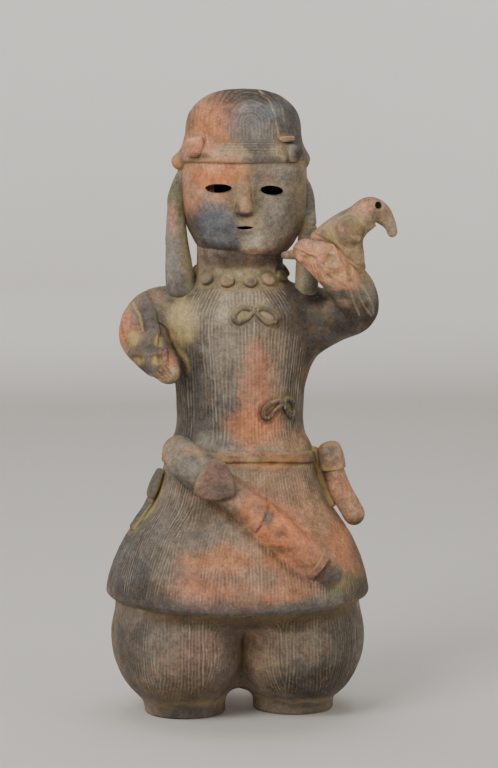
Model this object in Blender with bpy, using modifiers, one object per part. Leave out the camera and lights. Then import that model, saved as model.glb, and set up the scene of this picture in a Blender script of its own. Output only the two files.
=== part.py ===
"""Haniwa falconer: a hollow standing figure of low-fired clay, built as one piece.

The figure faces -Y and stands on Z = 0 on two ankle rings. Forms are built about the body's own
axis and carried by one empty, which puts the middle of the figure's box at the origin.
Angles on the body run from the front (-Y) round towards the wearer's left hand (+X).
"""

import math

import bpy
import numpy as np
from mathutils import Matrix, Vector

MM = 0.001

# Where the body axis stands from the middle of the figure's box
AXIS_X = -8.7 * MM
AXIS_Y = 0

# Overall stature, from the ground up
CAP_TOP = 600 * MM
BRIM_HEIGHT = 534 * MM
CHIN_HEIGHT = 436 * MM
COLLAR_HEIGHT = 421 * MM
SHOULDER_HEIGHT = 384 * MM
WAIST_HEIGHT = 290 * MM
BELT_HEIGHT = 254 * MM
HEM_HEIGHT = 118 * MM
ANKLE_HEIGHT = 13.5 * MM

# Half widths of the turned body, and how deep it is for its width
NECK_RADIUS = 41 * MM
SHOULDER_RADIUS = 70 * MM
WAIST_RADIUS = 61 * MM
BELT_RADIUS = 71 * MM
HEM_RADIUS = 126 * MM
BODY_DEPTH = 0.93

# Head and cap
HEAD_X = 4.5 * MM
HEAD_RADIUS = 59.5 * MM
HEAD_DEPTH = 0.93
CAP_X = 3.0 * MM

# Legs: each a fat bulb over an ankle ring
BULB_RADIUS = 61 * MM
BULB_DEPTH = 1.42
BULB_HEIGHT = 75 * MM
BULB_DROP = 71 * MM
LEG_LEFT_X = 59 * MM
LEG_RIGHT_X = -63.5 * MM
RING_RADIUS = 39.5 * MM
RING_LEFT = (52 * MM, 3 * MM)
RING_RIGHT = (-54 * MM, -6 * MM)
RING_REACH = 8 * MM  # how far the ring's clay runs on before the ground plane cuts it flat
CLEFT_X = -2.5 * MM
ARCH_HEIGHT = 22 * MM
WEB_RADIUS = 33 * MM

# Clay
WALL = 10.5 * MM
HEAD_WALL = 9.5 * MM
RING_WALL = 10.5 * MM
GRAIN = 2.1 * MM
KEPT_FACES = 7600
CORE_GRAIN = 4.2 * MM
CORE_FACES = 1150

# Cut openings
EYE_LENGTH = 24.5 * MM
EYE_OPENING = 8.2 * MM
EYE_HEIGHT = 506 * MM
EYE_RIGHT_X = -25.0 * MM
EYE_LEFT_X = 25.5 * MM
MOUTH_LENGTH = 15.5 * MM
MOUTH_OPENING = 4.4 * MM
MOUTH_HEIGHT = 471 * MM
MOUTH_X = -1.0 * MM
HAWK_EYE = 7.2 * MM
HAWK_EYE_DEPTH = 9 * MM


def body_profile():
    """Half width against height of the skirt, belt and torso, from the shoulder slope down to the hem."""
    return [
        (NECK_RADIUS, COLLAR_HEIGHT + 32 * MM),
        (NECK_RADIUS + 0.5 * MM, COLLAR_HEIGHT + 9 * MM),
        (NECK_RADIUS + 4 * MM, COLLAR_HEIGHT - 3 * MM),
        (NECK_RADIUS + 11 * MM, COLLAR_HEIGHT - 11 * MM),
        (SHOULDER_RADIUS - 7 * MM, SHOULDER_HEIGHT + 15 * MM),
        (SHOULDER_RADIUS, SHOULDER_HEIGHT),
        (SHOULDER_RADIUS - 4 * MM, SHOULDER_HEIGHT - 39 * MM),
        (WAIST_RADIUS + 1.5 * MM, WAIST_HEIGHT + 30 * MM),
        (WAIST_RADIUS, WAIST_HEIGHT),
        (WAIST_RADIUS + 1.5 * MM, BELT_HEIGHT + 18 * MM),
        (WAIST_RADIUS + 6 * MM, BELT_HEIGHT + 9 * MM),
        (BELT_RADIUS, BELT_HEIGHT),
        (BELT_RADIUS + 1.5 * MM, BELT_HEIGHT - 12 * MM),
        (BELT_RADIUS + 5 * MM, BELT_HEIGHT - 24 * MM),
        (BELT_RADIUS + 14 * MM, BELT_HEIGHT - 48 * MM),
        (HEM_RADIUS - 26 * MM, HEM_HEIGHT + 63 * MM),
        (HEM_RADIUS - 15 * MM, HEM_HEIGHT + 45 * MM),
        (HEM_RADIUS - 5 * MM, HEM_HEIGHT + 22 * MM),
        (HEM_RADIUS, HEM_HEIGHT),
    ]


def half_width(height):
    """The body's half width at a height, read off its profile."""
    profile = body_profile()[::-1]
    return float(np.interp(height, [z for _, z in profile], [r for r, _ in profile]))


def on_body(angle, height, proud):
    """A point at an angle and height round the body, standing proud of its wall."""
    turn = math.radians(angle)
    radius = half_width(height)
    x = (radius + proud) * math.sin(turn)
    y = -(radius * BODY_DEPTH + proud) * math.cos(turn)
    return Vector((x, y, height))


def smooth_path(points, per_span=4):
    """Catmull-Rom points through the given ones, for positions of any size, ends included."""
    p = np.array([tuple(q) for q in points], float)
    ends = np.vstack([2 * p[0] - p[1], p, 2 * p[-1] - p[-2]])
    t = np.linspace(0, 1, per_span, endpoint=False)[:, None]
    spans = []
    for a, b, c, d in zip(ends, ends[1:], ends[2:], ends[3:]):
        bend = (3 * (b - c) + d - a) * t**3 + (2 * a - 5 * b + 4 * c - d) * t**2
        spans.append((bend + (c - a) * t + 2 * b) / 2)
    spans.append(p[-1:])
    return np.vstack(spans)


# ---- scene and helpers -------------------------------------------------------------------------


def clear_scene():
    for old in list(bpy.data.objects):
        bpy.data.objects.remove(old, do_unlink=True)


def new_collection(name):
    collection = bpy.data.collections.new(name)
    bpy.context.scene.collection.children.link(collection)
    return collection


def new_object(name, data, collection):
    thing = bpy.data.objects.new(name, data)
    collection.objects.link(thing)
    return thing


def clay_material():
    """Smoke-blackened low-fired clay: matt, between orange and grey."""
    material = bpy.data.materials.new("smoked_clay")
    material.use_nodes = True
    shader = material.node_tree.nodes["Principled BSDF"]
    shader.inputs["Base Color"].default_value = (0.165, 0.112, 0.082, 1)
    shader.inputs["Roughness"].default_value = 0.82
    shader.inputs["Metallic"].default_value = 0.0
    material.diffuse_color = (0.165, 0.112, 0.082, 1)
    return material


def settled(thing):
    """The object's evaluated mesh, kept in place of its curve or its modifiers."""
    graph = bpy.context.evaluated_depsgraph_get()
    mesh = bpy.data.meshes.new_from_object(thing.evaluated_get(graph))
    mesh.transform(thing.matrix_world)
    name = thing.name
    collection = thing.users_collection[0]
    bpy.data.objects.remove(thing, do_unlink=True)
    return new_object(name, mesh, collection)


def turned(name, profile, depth, collection, centre=(0, 0), per_span=3, sides=64):
    """A closed turned form: a profile down the outer side, swept round and flattened front to back."""
    points = smooth_path([(r, 0, z) for r, z in profile], per_span)
    points[:, 0] = np.maximum(points[:, 0], 0)
    mesh = bpy.data.meshes.new(name)
    top = (0, 0, points[0][2])
    foot = (0, 0, points[-1][2])
    rows = [top] + [tuple(p) for p in points] + [foot]
    mesh.from_pydata(rows, [(i, i + 1) for i in range(len(rows) - 1)], [])
    form = new_object(name, mesh, collection)
    screw = form.modifiers.new("Turn", "SCREW")
    screw.steps = sides
    screw.render_steps = sides
    screw.use_merge_vertices = True
    screw.merge_threshold = 0.00005
    form.scale = (1, depth, 1)
    form.location = (centre[0], centre[1], 0)
    bpy.context.view_layer.update()
    return settled(form)


def domed(station, outward, angle):
    """A station of a limb's round end, at an angle up the dome."""
    centre = station[:3] + outward * station[3] * math.sin(angle)
    return np.append(centre, station[3] * math.cos(angle))


def limb(name, points, radii, collection, squash=None, per_span=4):
    """A rolled-clay limb: a round tube through the points, domed at both ends, pressed flat if asked."""
    stations = np.hstack([np.array([tuple(p) for p in points]), np.array(radii)[:, None]])
    path = smooth_path(stations, per_span)
    dome = np.radians([75, 50, 25])
    start = path[0]
    first = (path[0, :3] - path[1, :3]) / np.linalg.norm(path[0, :3] - path[1, :3])
    end = path[-1]
    last = (path[-1, :3] - path[-2, :3]) / np.linalg.norm(path[-1, :3] - path[-2, :3])
    head = [domed(start, first, angle) for angle in dome]
    tail = [domed(end, last, angle) for angle in dome[::-1]]
    path = np.vstack([head, path, tail])
    curve = bpy.data.curves.new(name, "CURVE")
    curve.dimensions = "3D"
    curve.bevel_depth = 1.0
    curve.bevel_resolution = 4
    curve.use_fill_caps = True
    spline = curve.splines.new("POLY")
    spline.points.add(len(path) - 1)
    for point, (x, y, z, radius) in zip(spline.points, path):
        point.co = (x, y, z, 1)
        point.radius = radius
    form = settled(new_object(name, curve, collection))
    if squash:
        form.data.transform(squash)
    return form


def ball(name, centre, radii, collection, turn=None):
    """A pressed ball of clay with its own half sizes, turned if asked."""
    bpy.ops.mesh.primitive_uv_sphere_add(segments=32, ring_count=16, radius=1.0)
    form = bpy.context.active_object
    form.name = name
    for holder in list(form.users_collection):
        holder.objects.unlink(form)
    collection.objects.link(form)
    turn = turn.to_4x4() if turn else Matrix.Identity(4)
    form.data.transform(Matrix.Translation(centre) @ turn @ Matrix.Diagonal((*radii, 1)))
    return form


def plate(name, outline, thickness, place, collection):
    """A flat slab cut to an outline, which lies in its own XY plane before it is placed."""
    curve = bpy.data.curves.new(name, "CURVE")
    curve.dimensions = "2D"
    curve.fill_mode = "BOTH"
    curve.extrude = thickness / 2
    spline = curve.splines.new("POLY")
    spline.points.add(len(outline) - 1)
    for point, (x, y) in zip(spline.points, outline):
        point.co = (x, y, 0, 1)
    spline.use_cyclic_u = True
    slab = settled(new_object(name, curve, collection))
    slab.data.transform(place)
    return slab


def flatten_towards(direction, centre, keep):
    """A matrix that presses a form along one direction about a centre, to a share of its thickness."""
    there = Matrix.Translation(centre)
    return there @ Matrix.Scale(keep, 4, Vector(direction).normalized()) @ there.inverted()


def join(name, forms, collection):
    """All the forms' meshes as one object."""
    vertices = []
    faces = []
    for form in forms:
        start = len(vertices)
        vertices += [tuple(v.co) for v in form.data.vertices]
        faces += [tuple(start + i for i in f.vertices) for f in form.data.polygons]
        bpy.data.objects.remove(form, do_unlink=True)
    mesh = bpy.data.meshes.new(name)
    mesh.from_pydata(vertices, [], faces)
    return new_object(name, mesh, collection)


# ---- forms of the figure -----------------------------------------------------------------------


def leg_forms(bulb_x, ring, inset, collection):
    """One trouser leg: a fat bulb that narrows into an ankle ring. Inset gives the hollow inside it."""
    side = "left" if bulb_x > 0 else "right"
    ring_inset = RING_WALL if inset else 0
    radius = BULB_RADIUS - inset
    bulb_y = ring[1] * 0.4
    bulb_size = (radius, radius * BULB_DEPTH, BULB_DROP - inset)
    bulb = ball(f"bulb_{side}", (bulb_x, bulb_y, BULB_HEIGHT), bulb_size, collection)
    ankle = turned(
        f"ankle_{side}",
        [
            (RING_RADIUS - 3 * MM - ring_inset, ANKLE_HEIGHT + 24 * MM),
            (RING_RADIUS - 1 * MM - ring_inset, ANKLE_HEIGHT),
            (RING_RADIUS - ring_inset, -RING_REACH),
        ],
        1.0,
        collection,
        centre=ring,
        per_span=1,
    )
    return [bulb, ankle]


def seat_forms(inset, collection):
    """The seat of the trousers under the skirt, and the web of clay between the legs down to the arch."""
    seat_size = (HEM_RADIUS - 8 * MM - inset, HEM_RADIUS * 0.85 - inset, 40 * MM - inset)
    seat = ball("seat", (CLEFT_X, 0, HEM_HEIGHT - 2 * MM), seat_size, collection)
    if inset:
        return [seat]
    web_reach = 40 * MM
    web_ends = [(CLEFT_X + side * web_reach, 0, ARCH_HEIGHT + WEB_RADIUS) for side in (-1, 1)]
    forms = [seat, limb("web", web_ends, [WEB_RADIUS, WEB_RADIUS], collection)]
    inner_size = (34 * MM, 74 * MM, 52 * MM)
    for side in (-1, 1):
        centre = (CLEFT_X + side * WEB_RADIUS, 0, 70 * MM)
        forms.append(ball("inner_leg", centre, inner_size, collection))
    return forms


def body_form(inset, collection):
    """Skirt, belt, torso and neck in one turned wall. The hem's lip turns in below."""
    profile = [(r - inset, z) for r, z in body_profile()]
    if not inset:
        profile += [(HEM_RADIUS - 2.5 * MM, HEM_HEIGHT - 9 * MM), (HEM_RADIUS - 9 * MM, HEM_HEIGHT - 13 * MM)]
    return turned("body", profile, BODY_DEPTH, collection)


def belt_form(collection):
    """The sash: a flat band round the waist."""
    middle = BELT_HEIGHT - 5 * MM
    profile = [
        (BELT_RADIUS - 8 * MM, middle + 6 * MM),
        (BELT_RADIUS + 2.4 * MM, middle + 4.6 * MM),
        (BELT_RADIUS + 3.6 * MM, middle),
        (BELT_RADIUS + 3.2 * MM, middle - 5 * MM),
        (BELT_RADIUS - 6 * MM, middle - 7 * MM),
    ]
    return turned("belt", profile, BODY_DEPTH, collection, per_span=2)


def head_form(inset, collection):
    """The head, a fat upright egg whose chin stands out over the neck."""
    r = HEAD_RADIUS - inset
    low = CHIN_HEIGHT + inset
    jaw = 41 * MM - inset
    profile = [(r * 0.9, BRIM_HEIGHT + 14 * MM), (r, BRIM_HEIGHT - 8 * MM)]
    for drop in (0, 0.35, 0.6, 0.8, 0.93, 1):
        profile.append((r * math.sqrt(1 - drop**2), low + jaw * (1 - drop)))
    return turned("head", profile, HEAD_DEPTH, collection, centre=(HEAD_X, 0))


def cap_form(inset, collection):
    """The round cap, a dome with a rolled brim a little wider than the head."""
    top = CAP_TOP - inset
    lip = 0 if inset else 2.5 * MM
    r = HEAD_RADIUS - inset
    rise = 40 * MM
    dome = []
    for lift in (1, 0.97, 0.9, 0.78, 0.6, 0.4, 0.2, 0):
        dome.append((r * 0.925 * (1 - lift**2.6) ** 0.385, top - rise * (1 - lift)))
    dome += [
        (r * 0.965, BRIM_HEIGHT + 14 * MM),
        (r + lip, BRIM_HEIGHT + 3 * MM),
        (r + lip * 0.6, BRIM_HEIGHT - 1.5 * MM),
        (r * 0.9, BRIM_HEIGHT - 3 * MM),
    ]
    return turned("cap", dome, HEAD_DEPTH, collection, centre=(CAP_X, 0), per_span=2)


def face_forms(collection):
    """The wedge nose and the two brow lugs and side balls of the cap."""
    nose = limb(
        "nose",
        [
            (HEAD_X - 5.0 * MM, -51 * MM, 521 * MM),
            (HEAD_X - 5.5 * MM, -54.5 * MM, 509 * MM),
            (HEAD_X - 6.5 * MM, -57.5 * MM, 490 * MM),
        ],
        [5.5 * MM, 6.2 * MM, 8.6 * MM],
        collection,
    )
    front = -HEAD_RADIUS * HEAD_DEPTH
    lugs = []
    size = (9 * MM, 7 * MM, 10 * MM)
    for name, x, lift in (("right", -43.5 * MM, 13 * MM), ("left", 46 * MM, 7.5 * MM)):
        y = 0.735 * front
        turn = Matrix.Rotation(math.atan2(x, -y), 3, "Z")
        lugs.append(ball(f"lug_{name}", (x, y, BRIM_HEIGHT + lift), size, collection, turn))
    size = (8 * MM, 8 * MM, 9.5 * MM)
    for name, x, y in (("right", -59 * MM, 0), ("left", 60 * MM, -6 * MM)):
        lugs.append(ball(f"ball_{name}", (x, y, 530 * MM), size, collection))
    return [nose] + lugs


def hair_forms(collection):
    """The long side locks, which hang from under the cap to the shoulders and thicken as they go."""
    right = limb(
        "lock_right",
        [
            (-56 * MM, 4 * MM, 518 * MM),
            (-62.5 * MM, 2 * MM, 500 * MM),
            (-63.5 * MM, -1 * MM, 478 * MM),
            (-62 * MM, -6 * MM, 452 * MM),
            (-58.5 * MM, -10 * MM, 420 * MM),
        ],
        [5 * MM, 6 * MM, 7.5 * MM, 11 * MM, 14.5 * MM],
        collection,
    )
    left = limb(
        "lock_left",
        [
            (58 * MM, -3 * MM, 518 * MM),
            (64.5 * MM, -7 * MM, 500 * MM),
            (66 * MM, -11 * MM, 482 * MM),
            (64.5 * MM, -15 * MM, 458 * MM),
            (60.5 * MM, -20 * MM, 420 * MM),
        ],
        [5 * MM, 6 * MM, 7 * MM, 9 * MM, 11.5 * MM],
        collection,
    )
    return [right, left]


def right_arm_forms(collection):
    """The wearer's right arm: out from the shoulder, bent down and forward, ending in a mitten."""
    arm = limb(
        "arm_right",
        [
            (-42 * MM, 2 * MM, 376 * MM),
            (-66 * MM, 2 * MM, 381 * MM),
            (-85 * MM, -1 * MM, 377 * MM),
            (-93 * MM, -10 * MM, 364 * MM),
            (-84 * MM, -26 * MM, 348 * MM),
            (-74 * MM, -38 * MM, 337 * MM),
        ],
        [30 * MM, 30 * MM, 29 * MM, 25 * MM, 20.5 * MM, 15.5 * MM],
        collection,
    )
    return [arm]


def left_arm_forms(collection):
    """The wearer's left arm: out to the elbow, then folded up and forward to the fist the hawk rides."""
    upper = limb(
        "arm_left",
        [
            (36 * MM, -4 * MM, 376 * MM),
            (62 * MM, -8 * MM, 381 * MM),
            (88 * MM, -14 * MM, 385 * MM),
            (109 * MM, -22 * MM, 391 * MM),
            (104 * MM, -34 * MM, 409 * MM),
            (88 * MM, -46 * MM, 427 * MM),
            (70 * MM, -55 * MM, 440 * MM),
        ],
        [34 * MM, 32 * MM, 25 * MM, 21.5 * MM, 21 * MM, 19.5 * MM, 15 * MM],
        collection,
    )
    thumb = limb(
        "thumb_left",
        [(60 * MM, -56 * MM, 446 * MM), (48 * MM, -55 * MM, 446 * MM), (37 * MM, -53 * MM, 445 * MM)],
        [7 * MM, 5 * MM, 3.4 * MM],
        collection,
    )
    armpit = limb(
        "armpit_left",
        [(40 * MM, -4 * MM, 340 * MM), (60 * MM, -8 * MM, 364 * MM), (82 * MM, -12 * MM, 380 * MM)],
        [24 * MM, 22 * MM, 18 * MM],
        collection,
    )
    return [upper, thumb, armpit]


def hawk_forms(collection):
    """The hawk on the fist: body, bent neck and hooked beak in one roll, with raised wings and a footing."""
    spine = limb(
        "hawk_spine",
        [
            (73 * MM, -34 * MM, 456 * MM),
            (84 * MM, -42 * MM, 463 * MM),
            (97 * MM, -50 * MM, 470 * MM),
            (108 * MM, -54 * MM, 479 * MM),
            (118.5 * MM, -55 * MM, 486 * MM),
            (128 * MM, -56.5 * MM, 485 * MM),
            (134.5 * MM, -58 * MM, 478 * MM),
            (138 * MM, -59 * MM, 470 * MM),
            (139 * MM, -59.5 * MM, 464.5 * MM),
        ],
        [8 * MM, 13 * MM, 16.5 * MM, 14.5 * MM, 14 * MM, 10.5 * MM, 7.8 * MM, 5.8 * MM, 4.2 * MM],
        collection,
    )
    footing = limb(
        "hawk_feet",
        [(94 * MM, -51 * MM, 462 * MM), (101 * MM, -54 * MM, 446 * MM), (107 * MM, -55 * MM, 434 * MM)],
        [15 * MM, 11.5 * MM, 6.5 * MM],
        collection,
    )
    turn = Matrix.Rotation(math.radians(-28), 3, "Y")
    wing = (11.5 * MM, 4 * MM, 13.5 * MM)
    front = ball("wing_front", (97 * MM, -65.5 * MM, 468 * MM), wing, collection, turn)
    back = ball("wing_back", (93 * MM, -34.5 * MM, 468 * MM), wing, collection, turn)
    return [spine, footing, front, back]


def sword_forms(collection):
    """The sword slung across the front: a fat hilt with a flat pommel, and a scabbard with one ring."""
    hilt = limb(
        "hilt",
        [on_body(-62, 253 * MM, 4 * MM), on_body(-46, 247 * MM, 7 * MM), on_body(-29, 238 * MM, 10 * MM)],
        [16.5 * MM, 18.5 * MM, 17 * MM],
        collection,
    )
    grip = limb(
        "grip",
        [on_body(-20, 230 * MM, 4 * MM), on_body(-3, 212 * MM, 1 * MM), on_body(8, 200 * MM, 1 * MM)],
        [16 * MM, 17.5 * MM, 17 * MM],
        collection,
    )
    scabbard = limb(
        "scabbard",
        [on_body(9, 199 * MM, 3 * MM), on_body(19, 182 * MM, 3 * MM), on_body(33, 158 * MM, 2 * MM),
         on_body(40, 146 * MM, 0)],
        [17 * MM, 18 * MM, 16.5 * MM, 13.5 * MM],
        collection,
    )
    ring = ball(
        "scabbard_ring",
        on_body(33.5, 157 * MM, 2 * MM),
        (4.5 * MM, 18.5 * MM, 19 * MM),
        collection,
        sword_turn(33),
    )
    return [hilt, pommel(collection), grip, scabbard, ring]


def sword_turn(angle):
    """Turns a form's X axis along the scabbard, where it lies at an angle round the body."""
    fall = math.radians(41)
    return Matrix.Rotation(math.radians(angle), 3, "Z") @ Matrix.Rotation(fall, 3, "Y")


def pommel(collection):
    """The pommel's flat face, a shield wider below than above, turned a little down and to the left."""
    top = 9 * MM
    broad = 19.5 * MM
    thickness = 12 * MM
    shield = [(-top, 20 * MM), (top, 20 * MM), (16 * MM, 11 * MM), (broad, -14 * MM), (13 * MM, -17 * MM)]
    shield += [(-10 * MM, -22 * MM), (-broad, -14 * MM), (-16 * MM, 4 * MM)]
    centre = Matrix.Translation(on_body(-19, 234 * MM, 19 * MM))
    upright = Matrix.Rotation(math.radians(90), 4, "X")
    swing = Matrix.Rotation(math.radians(-8), 4, "Z")
    lean = Matrix.Rotation(math.radians(10), 4, "X")
    return plate("pommel", shield, thickness, centre @ swing @ lean @ upright, collection)


def hip_forms(collection):
    """A capped round sheath at the left hip and a flat hanging tool at the right."""
    sheath_top = Vector((84 * MM, -20 * MM, 262 * MM))
    sheath_rim = Vector((87.5 * MM, -20 * MM, 239 * MM))
    sheath_end = Vector((109 * MM, -25 * MM, 192 * MM))
    tube_path = [sheath_rim, (sheath_rim + sheath_end) / 2, sheath_end]
    tube = limb("sheath", tube_path, [9.5 * MM, 9.8 * MM, 10 * MM], collection)
    cap = limb(
        "sheath_cap",
        [sheath_top - Vector((0, 0, 9 * MM)), sheath_rim + Vector((0, 0, 8 * MM)), sheath_rim],
        [11.5 * MM, 12 * MM, 12.5 * MM],
        collection,
    )
    bed = limb(
        "sheath_bed",
        [on_body(78, 252 * MM, 3 * MM), on_body(78, 222 * MM, 4 * MM), on_body(78, 194 * MM, 4 * MM)],
        [7 * MM, 7 * MM, 6 * MM],
        collection,
    )
    outward = on_body(-85, 204 * MM, 10 * MM) - on_body(-85, 204 * MM, 0)
    tool = limb(
        "tool",
        [on_body(-85, 228 * MM, 3 * MM), on_body(-85, 214 * MM, 4 * MM), on_body(-85, 203 * MM, 4 * MM)],
        [10 * MM, 14 * MM, 12 * MM],
        collection,
        flatten_towards(outward, on_body(-85, 214 * MM, 4 * MM), 0.36),
    )
    strap = limb(
        "tool_strap",
        [on_body(-85, 212 * MM, 2 * MM), on_body(-85, 196 * MM, 2 * MM), on_body(-84, 176 * MM, 1 * MM)],
        [8 * MM, 8 * MM, 8 * MM],
        collection,
        flatten_towards(outward, on_body(-85, 196 * MM, 2 * MM), 0.5),
    )
    return [tube, cap, bed, tool, strap]


def trimmings(collection):
    """Pellets of the necklace and the two ribbon bows on the chest."""
    forms = []
    pellet_size = (7.4 * MM, 7.4 * MM, 7.0 * MM)
    for n, angle in enumerate((-51, -22, 8, 33, 66, 120, 180, -130)):
        lift = 2 * MM * (1 - math.cos(math.radians(angle)))
        centre = on_body(angle, COLLAR_HEIGHT + lift, 1.5 * MM)
        forms.append(ball(f"pellet_{n}", centre, pellet_size, collection))
    bows = [(6.5, 394 * MM, 18, 6 * MM), (33, 306 * MM, 15, 10 * MM)]
    for n, (angle, height, reach, droop) in enumerate(bows):
        for side in (-1, 1):
            loop = [
                on_body(angle + side * 2, height, 1 * MM),
                on_body(angle + side * reach * 0.5, height - droop * 0.2, 1.5 * MM),
                on_body(angle + side * reach * 0.9, height - droop, 1 * MM),
            ]
            forms.append(limb(f"bow_{n}_{side}", loop, [2.4 * MM, 4.4 * MM, 4.4 * MM], collection))
    return forms


# ---- hollow and openings -----------------------------------------------------------------------


def hollow_core(collection):
    """The inside of the figure: one space from the ankle rings up into the cap."""
    forms = [body_form(WALL, collection), head_form(HEAD_WALL, collection), cap_form(HEAD_WALL, collection)]
    forms += seat_forms(WALL, collection)
    forms += leg_forms(LEG_LEFT_X, RING_LEFT, WALL, collection)
    forms += leg_forms(LEG_RIGHT_X, RING_RIGHT, WALL, collection)
    core = join("hollow_core", forms, collection)
    add_remesh(core, CORE_GRAIN, 3, CORE_FACES)
    return core


def slit(name, centre, length, opening, tilt, collection):
    """A leaf-shaped cutter that runs straight back through the wall."""
    depth = 30 * MM
    taper = 0.25
    leaf = []
    for angle in np.linspace(0, 2 * math.pi, 17)[:-1]:
        rise = math.sin(angle) * abs(math.sin(angle)) ** taper
        leaf.append((length / 2 * math.cos(angle), opening / 2 * rise))
    upright = Matrix.Rotation(math.radians(90), 4, "X")
    lean = Matrix.Rotation(math.radians(tilt), 4, "Y")
    return plate(name, leaf, depth, Matrix.Translation(centre) @ lean @ upright, collection)


def opening_cutters(collection):
    """Eyes and mouth cut through to the hollow, the hawk's poked eyes, and the ground plane."""
    front = -HEAD_RADIUS * HEAD_DEPTH
    right_eye = (EYE_RIGHT_X, front * 0.92, EYE_HEIGHT + 1 * MM)
    left_eye = (EYE_LEFT_X, front * 0.88, EYE_HEIGHT)
    mouth = (MOUTH_X, front, MOUTH_HEIGHT)
    left_droop = 8
    cutters = [
        slit("eye_right", right_eye, EYE_LENGTH, EYE_OPENING, 0, collection),
        slit("eye_left", left_eye, EYE_LENGTH, EYE_OPENING, left_droop, collection),
        slit("mouth", mouth, MOUTH_LENGTH, MOUTH_OPENING, 0, collection),
    ]
    sideways = Matrix.Rotation(math.radians(90), 4, "X")
    for name, y in (("hawk_eye_front", -70 * MM), ("hawk_eye_back", -40 * MM)):
        bpy.ops.mesh.primitive_cylinder_add(vertices=12, radius=HAWK_EYE / 2, depth=HAWK_EYE_DEPTH * 2)
        hole = bpy.context.active_object
        hole.name = name
        move_to(hole, collection)
        hole.data.transform(Matrix.Translation((123 * MM, y, 489 * MM)) @ sideways)
        cutters.append(hole)
    bpy.ops.mesh.primitive_cube_add(size=1.0)
    ground = bpy.context.active_object
    ground.name = "ground"
    move_to(ground, collection)
    breadth = 400 * MM
    thickness = 100 * MM
    below = Matrix.Translation((0, 0, -thickness / 2))
    ground.data.transform(below @ Matrix.Diagonal((breadth, breadth, thickness, 1)))
    cutters.append(ground)
    return cutters


def move_to(thing, collection):
    for holder in list(thing.users_collection):
        holder.objects.unlink(thing)
    collection.objects.link(thing)


def add_remesh(thing, grain, rounds, faces):
    """Fuses overlapping forms into one skin, softens the joins and thins the mesh to a face count."""
    remesh = thing.modifiers.new("Fuse", "REMESH")
    remesh.mode = "VOXEL"
    remesh.voxel_size = grain
    smooth = thing.modifiers.new("Soften", "SMOOTH")
    smooth.factor = 0.5
    smooth.iterations = rounds
    bpy.context.view_layer.update()
    graph = bpy.context.evaluated_depsgraph_get()
    quads = len(thing.evaluated_get(graph).data.polygons)
    thin = thing.modifiers.new("Thin", "DECIMATE")
    thin.ratio = faces / (2 * quads)


def build():
    clear_scene()
    figure_parts = new_collection("haniwa_falconer")
    cutters = new_collection("cutters")
    root = bpy.data.objects.new("figure_axis", None)
    figure_parts.objects.link(root)
    root.location = (AXIS_X, AXIS_Y, 0)

    forms = [body_form(0, figure_parts), belt_form(figure_parts)] + seat_forms(0, figure_parts)
    forms += leg_forms(LEG_LEFT_X, RING_LEFT, 0, figure_parts)
    forms += leg_forms(LEG_RIGHT_X, RING_RIGHT, 0, figure_parts)
    forms += [head_form(0, figure_parts), cap_form(0, figure_parts)]
    forms += face_forms(figure_parts) + hair_forms(figure_parts)
    forms += right_arm_forms(figure_parts) + left_arm_forms(figure_parts) + hawk_forms(figure_parts)
    forms += sword_forms(figure_parts) + hip_forms(figure_parts) + trimmings(figure_parts)
    figure = join("haniwa_figure", forms, figure_parts)
    add_remesh(figure, GRAIN, 3, KEPT_FACES)

    tools = [hollow_core(cutters)] + opening_cutters(cutters)
    for tool in tools:
        tool.display_type = "WIRE"
        tool.hide_render = True
        tool.parent = root
        cut = figure.modifiers.new(f"Cut {tool.name}", "BOOLEAN")
        cut.operation = "DIFFERENCE"
        cut.solver = "EXACT"
        cut.object = tool
    figure.parent = root
    figure.data.materials.append(clay_material())


build()
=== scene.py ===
"""Haniwa falconer: the looks of a hollow, comb-scored figure of low-fired clay, fired as one piece.

Run as a script in Blender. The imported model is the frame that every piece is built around, in metres;
forms are worked out in millimetres about the body's own axis, and set into the frame when they are
made meshes. The figure faces -Y, and +X is the wearer's left. Angles on the body run from the front
(-Y) round towards +X.
"""

import math
from functools import partial
from itertools import product as pairings

import bmesh
import bpy
import numpy as np
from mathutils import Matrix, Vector


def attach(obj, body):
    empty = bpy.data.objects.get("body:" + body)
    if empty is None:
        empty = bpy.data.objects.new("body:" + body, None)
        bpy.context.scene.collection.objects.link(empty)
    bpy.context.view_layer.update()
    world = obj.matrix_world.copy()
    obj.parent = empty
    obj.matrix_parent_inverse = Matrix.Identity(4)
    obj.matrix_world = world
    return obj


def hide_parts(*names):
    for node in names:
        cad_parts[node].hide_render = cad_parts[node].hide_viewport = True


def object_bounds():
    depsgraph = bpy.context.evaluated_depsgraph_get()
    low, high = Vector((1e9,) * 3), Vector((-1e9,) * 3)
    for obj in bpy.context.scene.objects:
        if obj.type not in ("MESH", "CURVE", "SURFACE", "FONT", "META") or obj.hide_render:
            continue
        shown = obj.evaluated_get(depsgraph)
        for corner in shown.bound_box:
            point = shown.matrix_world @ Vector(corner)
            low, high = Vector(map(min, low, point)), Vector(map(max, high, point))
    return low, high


bl_info = {
    "name": "Haniwa falconer",
    "version": (1, 0, 0),
    "blender": (4, 5, 0),
    "location": "3D View > Sidebar > Haniwa",
    "description": "Builds a comb-scored clay falconer around its packed frame",
    "category": "Object",
}

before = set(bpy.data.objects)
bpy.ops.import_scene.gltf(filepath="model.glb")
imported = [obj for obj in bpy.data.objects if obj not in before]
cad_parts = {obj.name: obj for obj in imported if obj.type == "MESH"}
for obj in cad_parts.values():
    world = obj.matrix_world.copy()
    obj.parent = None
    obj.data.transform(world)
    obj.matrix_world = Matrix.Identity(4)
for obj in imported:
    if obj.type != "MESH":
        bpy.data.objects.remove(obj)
CAD_LOW, CAD_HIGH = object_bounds()
NODE = "haniwa_figure"
BODY = "root"
METRES = 0.001

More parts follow.
